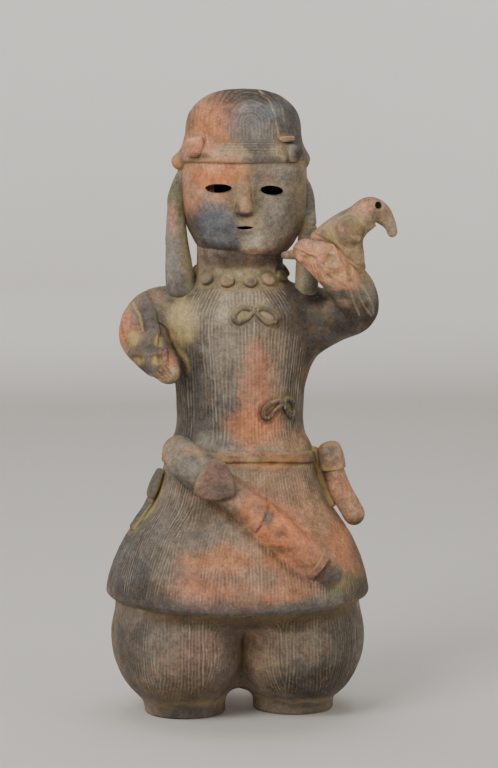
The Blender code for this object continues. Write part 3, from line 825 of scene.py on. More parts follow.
# Each noise of the clay: whether it is drawn out along the strokes, the size of its features in mm, its
# detail, the two noise levels that are spread out, and what they are spread to
NOISES = {
    "cloud": (False, 16, 3, 0.3, 0.7, 0.62, 1.12),
    "patch": (False, 5, 3, 0.3, 0.7, 0.80, 1.21),
    "grain": (False, 2.2, 4, 0.3, 0.7, 0.72, 1.29),
    "waver": (True, 6, 2, 0.0, 1.0, -0.42, 0.42),
    "broken": (True, 4.5, 4, 0.38, 0.60, 0.0, 1.0),
    "speckle": (False, 3.0, 4, 0.3, 0.62, 0.35, 1.0),
    "warm cast": (False, 10, 3, 0.52, 0.72, 0.0, 0.12),
    "cool cast": (False, 10, 3, 0.46, 0.28, 0.0, 0.26),
    "pale grit": (False, 1.3, 2, 0.64, 0.76, 0.0, 0.25),
    "dark grit": (False, 1.3, 2, 0.34, 0.24, 0.0, 0.6),
    "sheen": (False, 12, 3, 0.3, 0.7, 0.74, 0.94),
    "fine relief": (False, 1.6, 4, 0.0, 1.0, 0.0, 1.0),
    "broad relief": (False, 6, 2, 0.0, 1.0, 0.0, 1.5),
}
DRAWN_OUT = (1, 1, 0.35)

# The clay's layers from the base up: the colour of each, and the factors that multiply to its share
LAYERS = [
    ("warm", ["warm cast"]),
    ("cool", ["cool cast"]),
    ("ridge", ["crest", "press", "strength", "broken", "greyness", 0.58]),
    ("groove", ["trough", "press", "strength", "greyness", 0.5]),
    ("soil", ["soil", "speckle", "soil left"]),
    ("grit", ["pale grit"]),
    ("groove", ["dark grit"]),
]


def smoked_clay():
    """Low-fired clay, smoked in the kiln: matt, grey to orange, with pale rubbed ridges and ochre soil.

    The colour comes from the firing's own attribute. Over it lie three sizes of mottling, a warm and a cool
    cast, the comb's pale ridges and dark grooves, which show least on the orange clay, and ochre soil. The
    comb's crests are cos⁴ of its phase, and each tooth presses with its own strength.
    """
    material = bpy.data.materials.new("smoked_clay_surface")
    material.use_nodes = True
    tree = material.node_tree
    shader = tree.nodes["Principled BSDF"]
    add = partial(node, tree)
    where = add("TexCoord", {}, "Object")
    drawn = add("VectorMath", {0: where, 1: DRAWN_OUT}, operation="MULTIPLY")
    base = add("Attribute", {}, "Color", attribute_name="fired")
    made = {name: add("Attribute", {}, "Fac", attribute_name=name) for name in ("phase", "press", "soil")}
    made["soil left"] = bpy.context.scene.haniwa_sizes.soil
    for name, (along, size, detail, low, high, least, most) in NOISES.items():
        spread = {"From Min": low, "From Max": high, "To Min": least, "To Max": most}
        settings = {"Scale": 1 / (size * METRES), "Detail": detail, "Roughness": 0.6}
        spread["Value"] = add("TexNoise", {"Vector": drawn if along else where, **settings})
        made[name] = add("MapRange", spread)

    # Each tooth of the comb wavers and presses with its own strength. Orange clay shows the comb least
    phase = add("Math", {0: made["phase"], 1: made["waver"]}, operation="ADD")
    tooth = add("Math", {0: phase}, operation="ROUND")
    chance = add("TexWhiteNoise", {"W": tooth}, noise_dimensions="1D")
    made["strength"] = add("MapRange", {"Value": chance, "To Min": 0.3, "To Max": 1.0})
    turned = add("Math", {0: phase, 1: math.pi}, operation="MULTIPLY")
    swing = add("Math", {0: turned}, operation="COSINE")
    made["crest"] = add("Math", {0: swing, 1: 4.0}, operation="POWER")
    made["trough"] = add("MapRange", {"Value": made["crest"], "From Max": 0.4, "To Min": 1.0, "To Max": 0.0})
    red = add("SeparateColor", {"Color": base}, "Red")
    blue = add("SeparateColor", {"Color": base}, "Blue")
    warmth = add("Math", {0: red, 1: blue}, operation="SUBTRACT")
    cooling = {"Value": warmth, "From Min": 0.1, "From Max": 0.3, "To Min": 1.0, "To Max": 0.3}
    made["greyness"] = add("MapRange", cooling)

    colour = base
    for name in ("cloud", "patch", "grain"):
        colour = add("VectorMath", {0: colour, "Scale": made[name]}, operation="SCALE")
    for name, factors in LAYERS:
        share = made[factors[0]]
        for factor in factors[1:]:
            share = add("Math", {0: share, 1: made.get(factor, factor)}, operation="MULTIPLY")
        colour = add("Mix", {0: share, 6: colour, 7: (*tone(name), 1.0)}, 2, data_type="RGBA")
    tree.links.new(colour, shader.inputs["Base Color"])

    # Fired clay is matt all over, with a slight sheen where hands have rubbed it
    tree.links.new(made["sheen"], shader.inputs["Roughness"])
    shader.inputs["Metallic"].default_value = 0.0
    shader.inputs["Specular IOR Level"].default_value = 0.26
    relief = add("Math", {0: made["crest"], 1: made["press"]}, operation="MULTIPLY")
    for name in ("fine relief", "broad relief"):
        relief = add("Math", {0: relief, 1: made[name]}, operation="ADD")
    bump = add("Bump", {"Strength": 0.5, "Distance": 0.6 * METRES, "Height": relief})
    tree.links.new(bump, shader.inputs["Normal"])
    return material


def placed(piece):
    """Gives a piece its clay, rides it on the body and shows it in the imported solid's place."""
    clay = bpy.data.materials.get("smoked_clay_surface") or smoked_clay()
    piece.data.materials.clear()
    piece.data.materials.append(clay)
    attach(piece, BODY)
    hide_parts(NODE)
    return piece


# ---- trousers ----


class Cast(Form):
    """A form found by rays: each goes out from a middle point to where a merged distance turns positive."""

    def __init__(self, centre, distance, fall, far=150.0, columns=440, front_share=0.35):
        self.field = distance
        centre = np.asarray(centre, float)
        turn = around(columns, front_share)
        level, rise = np.sin(fall)[:, None], np.cos(fall)[:, None]
        rays = np.stack([level * np.sin(turn), -level * np.cos(turn), rise * np.ones(columns)], -1)
        low = np.zeros(rays.shape[:2])
        high = np.full(rays.shape[:2], far)
        for step in np.linspace(0, far, 26)[1:]:
            out = distance(centre + rays * step) > 0
            first = out & (high == far) & (low < step)
            high = np.where(first, step, high)
            low = np.where(~out & (high == far), step, low)
        for _ in range(9):
            middle = (low + high) / 2
            out = distance(centre + rays * middle[..., None]) > 0
            high = np.where(out, middle, high)
            low = np.where(out, low, middle)
        self.grid = centre + rays * ((low + high) / 2)[..., None]


def leg_shapes(side, inset=0.0):
    """The fat bulb of one trouser leg and the ankle ring under it."""
    ring = RING_PLACE[side]
    bulb = Ball((LEG_X[side], ring[1] * 0.4, BULB_HEIGHT), BULB_SIZE - inset)
    profile = [
        (RING_RADIUS - 3 - inset, ANKLE_HEIGHT + 24),
        (RING_RADIUS - 1 - inset, ANKLE_HEIGHT),
        (RING_RADIUS - inset, -8),
    ]
    return bulb, Turned(profile, columns=96, centre=ring, per_span=4)


def seat_shape(inset=0.0):
    """The flat ball that closes the legs together under the skirt."""
    size = np.array([HEM_RADIUS - 8, HEM_RADIUS * 0.85, 40]) - inset
    return Ball((CLEFT_X, 0, HEM_HEIGHT - 2), size)


def trousers_forms():
    """Two legs. Each is the merged outline of its bulb, its ring, the web between the legs and the seat."""
    web = Roll([(CLEFT_X - 40, 0, ARCH_HEIGHT + 33, 33), (CLEFT_X + 40, 0, ARCH_HEIGHT + 33, 33)])
    seat = seat_shape()
    upper = np.linspace(0, 138, 60, endpoint=False)
    lower = np.linspace(138, 162, 30, endpoint=False)
    fall = np.radians(np.concatenate([upper, lower, np.linspace(162, 180, 6)]))
    legs = []
    for side, sign in (("left", 1), ("right", -1)):
        bulb, ring = leg_shapes(side)
        inner = Ball((CLEFT_X + sign * 33, 0, 70), (34, 74, 52))

        def distance(p, bulb=bulb, ring=ring, inner=inner, sign=sign):
            """One leg's merged outline, cut off at the ground, at the cleft and over the hem."""
            d = merged(bulb.field(p), inner.field(p), 26)
            d = merged(d, web.field(p), 14)
            d = merged(d, ring.field(p), 9)
            d = merged(d, seat.field(p), 12)
            d = -merged(-d, p[..., 2], 4)
            past = sign * (CLEFT_X - p[..., 0]) - 1.5
            return np.maximum(np.maximum(d, past), p[..., 2] - HEM_HEIGHT - 9)

        legs.append(Cast((LEG_X[side], 0, BULB_HEIGHT), distance, fall))
    return legs


TROUSERS_TONES = [
    ((-70, -40, 70), (110, 90, 90), "slate", 0.5),
    ((60, -40, 70), (110, 90, 90), "slate", 0.6),
    ((-82, -60, 95), (50, 60, 44), "slate", 0.6),
    ((-58, -80, 70), (42, 40, 40), "dun", 0.35),
    ((-44, -85, 80), (30, 40, 16), "plum", 0.8),
    ((-50, -85, 64), (24, 40, 9), "plum", 0.7),
    ((-14, -60, 60), (16, 40, 60), "umber", 0.4),
    ((12, -70, 72), (20, 50, 44), "fawn", 0.35),
    ((14, -70, 92), (12, 40, 20), "plum", 0.5),
    ((46, -80, 86), (40, 50, 26), "dun", 0.35),
    ((62, -84, 96), (26, 50, 16), "ash", 0.3),
    ((88, -60, 75), (34, 60, 64), "soot", 0.6),
    ((70, -80, 38), (56, 60, 26), "soot", 0.85),
    ((-108, -40, 66), (24, 60, 50), "soot", 0.6),
    ((-70, -80, 24), (50, 60, 18), "olive", 0.7),
    ((-50, -80, 6), (60, 60, 12), "slate", 0.7),
    ((50, -80, 6), (60, 60, 12), "slate", 0.6),
    ((-60, -80, 4), (90, 60, 10), "soot", 0.6),
    # Painted shadow under the skirt's hem: this patch and the next three
    ((0, -94, 105), (110, 44, 11), "soot", 0.55),
    ((-60, -88, 108), (70, 44, 10), "umber", 0.85),
    ((60, -88, 108), (70, 44, 10), "umber", 0.85),
    ((10, -94, 102), (70, 44, 13), "umber", 0.85),
    ((-60, -80, 34), (60, 60, 20), "umber", 0.6),
    ((0, 90, 60), (90, 50, 60), "dun", 0.6),
]


def make_trousers():
    """Two fat trouser legs that stand on ankle rings, hollow to the ground."""
    forms = trousers_forms()
    wall = size_of("wall")
    hollows = [seat_shape(wall), *leg_shapes("left", wall), *leg_shapes("right", wall)]
    piece = fused("trousers", forms, hollows)

    def comb(p):
        """Grooves down each leg, fading at its ring, at the hem and towards the cleft."""
        spacing = size_of("trousers_teeth")
        left = combed(p, spacing, strokes=11, seed=21, centre=(LEG_X["left"], 0))
        right = combed(p, spacing, strokes=11, seed=22, centre=(LEG_X["right"], 0))
        phase, press = np.where(p[:, 0] > CLEFT_X, left, right)
        fade = eased(14, 36, p[:, 2]) * eased(HEM_HEIGHT - 12, HEM_HEIGHT - 24, p[:, 2])
        inner = 8 + 0.3 * np.maximum(p[:, 2] - 70, 0)
        return phase, 0.65 * press * fade * eased(0, 18, np.abs(p[:, 0] - CLEFT_X) - inner)

    def marks(p, normals):
        """Soil in the cleft, under the hem and round the rings. The comb is worn off under the hem."""
        cleft = 1 - eased(1, 9, np.abs(p[:, 0] - CLEFT_X) + 0.25 * np.maximum(p[:, 2] - 80, 0))
        hem = eased(HEM_HEIGHT - 22, HEM_HEIGHT - 8, p[:, 2])
        rim = 1 - eased(1, 6, np.abs(p[:, 2] - ANKLE_HEIGHT - 2))
        soil = np.maximum(np.maximum(0.4 * cleft, 0.3 * hem), 0.6 * rim)
        return np.zeros(len(p)), soil * patchy(p, 12, 91), 1 - 0.8 * hem

    for form in forms:
        form.crisp = 3.0
    worked(piece, forms, "dun", TROUSERS_TONES, 20, comb, marks=marks, dirt=3.0, joint_shade=0.3)
    return placed(piece)


# ---- skirt, belt and sword ----


def skirt_forms():
    """The flared skirt, the sash round its top, and the sword slung across it."""

    def close_at_edges(p):
        """Closer rows at the hem and near the sash."""
        return np.where((p[:, 2] < HEM_HEIGHT + 4) | (p[:, 2] > BELT_HEIGHT - 16), 1.4, 3.0)

    profile = [(BELT_RADIUS - 6, BELT_HEIGHT + 3)] + [p for p in body_profile() if p[1] <= BELT_HEIGHT]
    profile += [(HEM_RADIUS - 2, HEM_HEIGHT - 6.5), (HEM_RADIUS - 8, HEM_HEIGHT - 10)]
    skirt = Turned(profile, 760, BODY_DEPTH, spacing=close_at_edges, front_share=0.35)
    middle = BELT_HEIGHT - 5
    band = [
        (BELT_RADIUS - 9, middle + 6.5),
        (BELT_RADIUS + 1.2, middle + 5.2),
        (BELT_RADIUS + 3.4, middle),
        (BELT_RADIUS + 3.6, middle - 5),
        (BELT_RADIUS - 6, middle - 7.5),
    ]
    skirt.grid = shifted(skirt.grid)
    skirt.field = lambda p, level=skirt.field: level(shifted(p, -1))
    belt = Turned(band, 420, BODY_DEPTH, spacing=1.0, front_share=0.3, per_span=6)
    belt.grid = ridden_up(belt.grid)
    belt.field = lambda p, level=belt.field: level(ridden_up(p, -1))
    return [skirt, belt] + sword_forms()


def shifted(points, way=1):
    """The skirt hangs HEM_SHIFT further to the right at the hem than at the belt."""
    share = eased(BELT_HEIGHT - 20, HEM_HEIGHT, points[..., 2])
    return points - way * share[..., None] * np.array([HEM_SHIFT, 0, 0])


def ridden_up(points, way=1):
    """The sash rides up by SASH_RISE at the front: z + rise cos²t, and a little closer in there."""
    x, y, z = np.moveaxis(points, -1, 0)
    rise = np.maximum(-y, 0) ** 2 / np.maximum(x**2 + y**2, 1e-9)
    closer = 1 - way * 0.028 * rise
    return np.stack([x * closer, y * closer, z + way * SASH_RISE * rise], -1)


def sword_forms():
    """A fat hilt with a flat shield for a pommel, a grip, and a scabbard with one ring and a round chape."""
    hilt = Roll(along_body([(-58, 258, 4, 15.5), (-43, 248.5, 7, 18.5), (-29, 238, 10, 17)]), 110)
    grip = Roll(along_body([(-20, 230, 4, 15.5), (-3, 212, 1, 16), (8, 200, 1, 15.5)]), 110)
    sheathed = along_body([(9, 199, 3, 16), (19, 182, 3, 15.6), (30, 162, 2, 14.6), (39, 147.5, 0, 13.5)])
    scabbard = Roll(sheathed, 110, 1.4, blunt=(0.5, 1.0))
    ring = Roll(along_body([(31, 160, 2, 17.2), (33, 156.5, 2, 17.2)]), 110, 1.0, blunt=(0.12, 0.12))
    shield = [(-0.5, 20.7), (8.6, 16.7), (15, 5), (17.8, -9), (15, -14), (3, -17.8), (-9.5, -18.2)]
    shield += [(-18.5, -13.5), (-21, -8), (-16, 5), (-7.5, 18)]
    pommel = Slab((-31.5, -88, 237), shield, 19, (-0.1, -0.985, -0.14), columns=160, rows=56, square=3.6)
    return [hilt, grip, scabbard, ring, pommel]


SKIRT_TONES = [
    ((-100, -60, 180), (70, 90, 66), "slate", 0.85),
    ((-118, -20, 150), (40, 70, 50), "soot", 0.7),
    ((-114, -40, 142), (28, 80, 30), "smoke", 0.5),
    ((-112, -50, 138), (26, 80, 26), "soot", 0.5),
    ((-84, -90, 205), (22, 50, 40), "ash", 0.4),
    ((-20, -110, 175), (66, 60, 46), "dun", 0.85),
    ((-34, -110, 180), (36, 60, 26), "slate", 0.45),
    ((0, -110, 165), (40, 60, 30), "fawn", 0.5),
    ((-28, -100, 158), (44, 50, 18), "ember", 0.55),
    ((-45, -115, 138), (42, 50, 18), "salmon", 0.7),
    ((-38, -115, 138), (28, 50, 11), "ember", 0.75),
    ((-36, -115, 148), (30, 50, 9), "slate", 0.4),
    ((18, -112, 150), (40, 50, 18), "dun", 0.6),
    ((8, -118, 132), (60, 50, 12), "salmon", 0.55),
    ((28, -118, 128), (28, 50, 7), "ember", 0.5),
    ((56, -95, 190), (50, 70, 60), "salmon", 0.85),
    ((40, -100, 214), (40, 60, 26), "salmon", 0.6),
    ((42, -112, 138), (28, 50, 18), "salmon", 0.6),
    ((84, -80, 176), (26, 70, 40), "fawn", 0.7),
    ((64, -80, 214), (26, 50, 26), "fawn", 0.6),
    ((30, -70, 233), (44, 40, 14), "fawn", 0.5),
    ((44, -80, 222), (30, 40, 18), "dun", 0.5),
    ((100, -50, 160), (30, 60, 46), "ember", 0.55),
    ((118, -30, 158), (18, 60, 50), "umber", 0.55),
    ((88, -76, 132), (40, 60, 16), "olive", 0.9),
    ((70, -90, 124), (40, 50, 8), "ash", 0.5),
    ((30, -105, 117), (80, 60, 11), "slate", 0.9),
    ((-24, -112, 122), (50, 60, 12), "plum", 0.6),
    ((-60, -90, 117), (84, 70, 10), "slate", 0.95),
    ((-96, -60, 126), (40, 70, 14), "soot", 0.75),
    ((112, -40, 122), (30, 60, 14), "soot", 0.8),
    ((25, -70, 253), (62, 40, 10), "salmon", 0.8),
    ((40, -66, 249), (46, 30, 6), "ember", 0.6),
    ((0, 110, 180), (110, 60, 90), "dun", 0.7),
    ((60, 90, 150), (60, 60, 50), "slate", 0.6),
    ((-38, -112, 134), (44, 50, 26), "plum", 0.4),
    # Painted shadow under the hilt and the pommel: this patch and the next
    ((-48, -85, 212), (22, 40, 20), "umber", 0.6),
    ((-24, -98, 204), (26, 40, 14), "umber", 0.6),
    # sword
    ((-52, -62, 250), (30, 34, 26), "ash", 0.95),
    ((-60, -62, 244), (22, 30, 16), "slate", 0.5),
    ((-44, -70, 262), (22, 30, 6), "fawn", 0.5),
    ((-72, -30, 252), (11, 30, 10), "salmon", 0.85),
    ((-58, -60, 230), (22, 30, 12), "soot", 0.6),
    ((-31, -98, 237), (30, 16, 30), "plum", 1.0),
    ((-26, -98, 228), (20, 16, 10), "slate", 0.5),
    ((2, -84, 212), (22, 26, 22), "salmon", 0.85),
    ((6, -86, 209), (20, 26, 16), "ember", 0.45),
    ((-10, -84, 202), (12, 24, 9), "umber", 0.7),
    ((34, -96, 186), (34, 30, 36), "ember", 0.8),
    ((44, -100, 184), (28, 30, 26), "ember", 0.5),
    ((44, -98, 172), (20, 30, 22), "salmon", 0.5),
    ((16, -96, 203), (6, 20, 8), "slate", 0.85),
    ((7, -92, 212), (8, 20, 7), "plum", 0.6),
    ((26, -100, 188), (8, 20, 6), "plum", 0.6),
    ((28, -96, 174), (24, 20, 5), "umber", 0.6),
    ((56, -94, 172), (7, 20, 7), "plum", 0.6),
    ((64, -90, 160), (10, 20, 9), "salmon", 0.8),
    ((74, -88, 146), (17, 30, 14), "slate", 0.95),
    ((74, -88, 142), (12, 30, 10), "soot", 0.6),
]


def make_skirt():
    """The skirt with its sash, and the sword that lies across it in high relief."""
    forms = skirt_forms()
    skirt, belt, hilt, grip, scabbard, ring, pommel = forms
    pommel.crisp = 1.6
    ring.crisp = 1.6
    hilt.crisp = grip.crisp = scabbard.crisp = 30
    belt.crisp = 5.0
    lute([hilt, grip, scabbard], [skirt, belt], 9)
    lute([skirt], [hilt, grip, scabbard], 9)
    piece = fused("skirt_and_sword", forms, [hollow_body(BELT_HEIGHT + 12, HEM_HEIGHT - 16)])
    wiped(piece, [skirt, hilt, grip, scabbard], 8)

    def comb(p):
        """Grooves down the skirt, worn at the front by 1 - 0.8 e^(-x² - z²), fading out over the hem."""
        phase, press = combed(p, size_of("skirt_teeth"), strokes=13, seed=31)
        worn = 1 - 0.8 * np.exp(-(((p[:, 0] + 10) / 30) ** 2) - ((p[:, 2] - 200) / 26) ** 2)
        on_skirt = eased(4, 0, skirt.field(p)) * eased(HEM_HEIGHT - 2, HEM_HEIGHT + 12, p[:, 2])
        return phase, 0.85 * press * worn * on_skirt

    def marks(p, normals):
        """The scabbard's collar, the groove past its ring, soil under the sash, and painted shade under the
        sword and in the collar and ring grooves.
        """
        front = facing_front(normals)
        collar = seen_from_front(p, [(18.5, 217), (14, 206), (6, 189)])
        after_ring = seen_from_front(p, [(74, 161), (60, 142.5)])
        raised = -1.8 * stroke(collar, 1.8, 0.9) - 2.4 * stroke(after_ring, 2.6, 0.9)
        raised += 1.3 * traced(p, [(22.5, 215), (17.5, 204), (10, 187)], 4.0, 0.9)
        under_sash = np.abs(ridden_up(p, -1)[:, 2] - BELT_HEIGHT + 13.5)
        under_sash = (1 - eased(0.5, 4.0, under_sash)) * eased(-22, 8, p[:, 0])
        soil = 0.7 * under_sash * patchy(p, 14, 77)
        dust = 1 - eased(0.15, 1, np.linalg.norm((p - (88, -86, 136)) / (20, 40, 9), axis=1))
        soil = np.maximum(soil, 0.45 * dust)
        # Painted shade, in brown: below the sword's lower side and inside the collar's and ring's grooves
        shade = traced(p, [(-36, 215), (10, 176), (56, 138)], 6, 0.9) * eased(0, 3, scabbard.field(p))
        cuts = np.maximum(stroke(collar, 1.3, 1.0), stroke(after_ring, 2.0, 1.0))
        shade = np.maximum(shade, cuts)
        return raised * front, soil, np.ones(len(p)), (0.65 * shade * front, "umber")

    beside = [hip_sheath_forms()[2], hip_tool_forms()[1]]
    worked(piece, forms, "dun", SKIRT_TONES, 30, comb, marks=marks, dirt=4.5, beside=beside)
    return placed(piece)


def hollow_body(top, foot):
    """The hollow inside the turned body between two heights: the profile, drawn in by the wall."""
    low = np.array(body_profile()[-1])
    wall = size_of("wall")
    profile = [(r - wall, z) for r, z in body_profile() if foot < z < top]
    profile = [(half_width(top) - wall, top)] + profile
    profile += [(half_width(max(foot, low[1])) - wall, foot)]
    return Turned(profile, 72, BODY_DEPTH, spacing=8, per_span=4)


# ---- what hangs at the hips ----


def hip_sheath_forms():
    """The sheath's tube, its cap, and the bed of clay that holds it to the skirt."""
    rim = np.array([86.5, -20, 240.0])
    end = np.array([107.5, -24, 193.0])
    tube = Roll([(*rim, 10.2), (*((rim + end) / 2 - (2, 0, 0)), 10.6), (*end, 10.4)], 96, 1.1)
    lid = [(84, -20, 257, 10.8), (86, -20, 249, 12.2), (87.8, -20, 237.5, 12.6)]
    cap = Roll(lid, 72, 1.3, blunt=(0.6, 0.12))
    bed = Roll(along_body([(78, 252, 0, 6), (78, 226, 1, 7), (78, 204, 1, 6)]), 64, 1.6)
    return [tube, cap, bed]


SHEATH_TONES = [
    ((86, -20, 252), (17, 17, 12), "dun", 0.8),
    ((76, -14, 228), (10, 30, 40), "umber", 0.8),
    ((82, -28, 255), (8, 12, 8), "slate", 0.5),
    ((97, -24, 220), (14, 17, 16), "salmon", 0.8),
    # Painted shade on the tube's lower end
    ((112, -25, 186), (16, 16, 11), "umber", 0.75),
]


def make_hip_sheath():
    """A capped round sheath at the left hip, bedded in the skirt."""
    forms = hip_sheath_forms()
    _, cap, bed = forms
    cap.crisp = 2.0
    piece = fused("hip_sheath", forms)

    def marks(p, normals):
        """A crack across the tube, and soil behind it and under the rim of its cap."""
        crack = seen_from_front(p, [(93, 209), (98, 208), (104, 211)])
        rim = np.abs(cap.field(p)) + np.abs(p[:, 2] - 237)
        soil = 0.4 * (1 - eased(0, 4, bed.field(p))) + 0.35 * (1 - eased(1, 5, rim))
        return -0.8 * stroke(crack, 1.0, 1.0), soil, np.ones(len(p))

    worked(piece, forms, "fawn", SHEATH_TONES, 40, marks=marks, dirt=3.0)
    return placed(piece)


def hip_tool_forms():
    """The flat tool, and the strip of clay that it hangs on."""
    outward = bent(-85, 214)
    blade = [(234, 3, 10), (223, 4, 13.5), (213, 4, 12)]
    strip = [(218, 2, 8), (202, 2, 8), (182, 1, 8)]
    tool = Roll([(*on_body(-85, z, out), r, r * 0.36) for z, out, r in blade], 72, 1.4, front=outward)
    strap = Roll([(*on_body(-85, z, out), r, r * 0.5) for z, out, r in strip], 72, 1.4, front=outward)
    return [tool, strap]


def make_hip_tool():
    """A flat hanging tool at the right hip, on a strip of clay."""
    forms = hip_tool_forms()
    piece = fused("hip_tool", forms)

    def marks(p, normals):
        """Soil where the tool meets the skirt."""
        inner = np.abs(p[:, 0]) - half_width(p[:, 2])
        return np.zeros(len(p)), 0.9 * (1 - eased(0.5, 3.5, inner)), np.ones(len(p))

    worked(piece, forms, "slate", [((-95, 0, 222), (20, 20, 12), "olive", 0.7)], 45, marks=marks, dirt=3.0)
    return placed(piece)


# ---- torso and arms ----


def torso_form():
    """The combed trunk from inside the chin down into the sash."""

    def close_at_collar(p):
        """Closer rows at the collar."""
        return np.where((p[:, 2] > COLLAR_HEIGHT - 14) & (p[:, 2] < COLLAR_HEIGHT + 14), 1.3, 2.4)

    profile = [p for p in body_profile() if p[1] >= BELT_HEIGHT]
    profile += [(BELT_RADIUS + 0.6, BELT_HEIGHT - 3.4), (BELT_RADIUS - 3, BELT_HEIGHT - 6)]
    return Turned(profile, 462, BODY_DEPTH, spacing=close_at_collar, front_share=0.35)


def right_arm_form():
    """The right arm, from the shoulder out and down to the fist at the waist."""
    stations = [(-42, 2, 378, 31), (-66, 2, 383, 30), (-84, -2, 379, 28), (-92, -12, 366, 24.5)]
    stations += [(-86, -27, 352, 19), (-72, -39, 337.5, 14.5)]
    return Roll(stations, 170, 1.1)


def left_arm_forms():
    """The left arm, bent up to the fist that holds the hawk, its thumb, and the web under the armpit."""
    stations = [(36, -4, 376, 34), (62, -8, 381, 32), (88, -14, 384, 25.5), (108, -22, 391, 22)]
    stations += [(104, -34, 409, 21.5), (89, -46, 427, 20), (73, -54, 440, 17.5), (56.5, -57, 448.5, 12.5)]
    arm = Roll(stations, 170, 1.1)
    thumb = Roll([(60, -56, 446, 7), (48, -55, 446, 5), (37, -53, 445, 3.4)], 40, 1.0)
    armpit = Roll([(40, -4, 340, 24), (60, -8, 364, 22), (82, -12, 380, 18)], 90, 2.0)
    return [arm, thumb, armpit]


# Where each pellet of the collar lies, in degrees
PELLET_ANGLES = (-50, -21, 7, 31, 59, 95, 135, 180, -135, -92)


def pellet_forms():
    """Flat pellets of clay pressed on round the collar, each facing out and up."""
    turn = np.linspace(0, 2 * math.pi, 13)[:-1]
    pellets = []
    for n, angle in enumerate(PELLET_ANGLES):
        lift = 6 * (1 - math.cos(math.radians(angle)))
        place = np.array(on_body(angle, COLLAR_HEIGHT + lift - 1.5))
        out = unit(bent(angle, COLLAR_HEIGHT) * np.array([1, 1, 0]))
        facing = out * 0.84 + np.array([0, 0, 0.54])
        size = size_of("pellet") + 0.4 * math.cos(5 * n)
        outline = np.column_stack([size * np.cos(turn), size * 0.94 * np.sin(turn)])
        pellets.append(Slab(place - facing, outline.tolist(), 9.5, facing, columns=48, rows=24, square=4.2))
        pellets[-1].crisp = 3.0
    return pellets


def bow_forms():
    """Two tied ribbons: each loop is a thin roll that goes out, round and back to the knot."""
    chest = [[(6, 394), (-4, 396), (-10, 389), (-7, 383.5), (0, 387), (6, 393)]]
    chest += [[(7.5, 393), (13, 395.5), (22, 391), (24, 384), (17.5, 381.5), (11, 387), (7, 393)]]
    side = [[(34, 306), (27, 306.5), (18, 302), (15.5, 293.5), (21, 291.5), (28, 299), (34, 304)]]
    side += [[(35, 305), (41, 308), (49, 302), (50.5, 293), (45, 290.5), (39.5, 297), (35, 304)]]
    loops = []
    for loop in chest + side:
        loops.append(Roll(along_body([(angle, z, 0.9, size_of("ribbon")) for angle, z in loop]), 18, 0.9))
        loops[-1].crisp = 8
    return loops


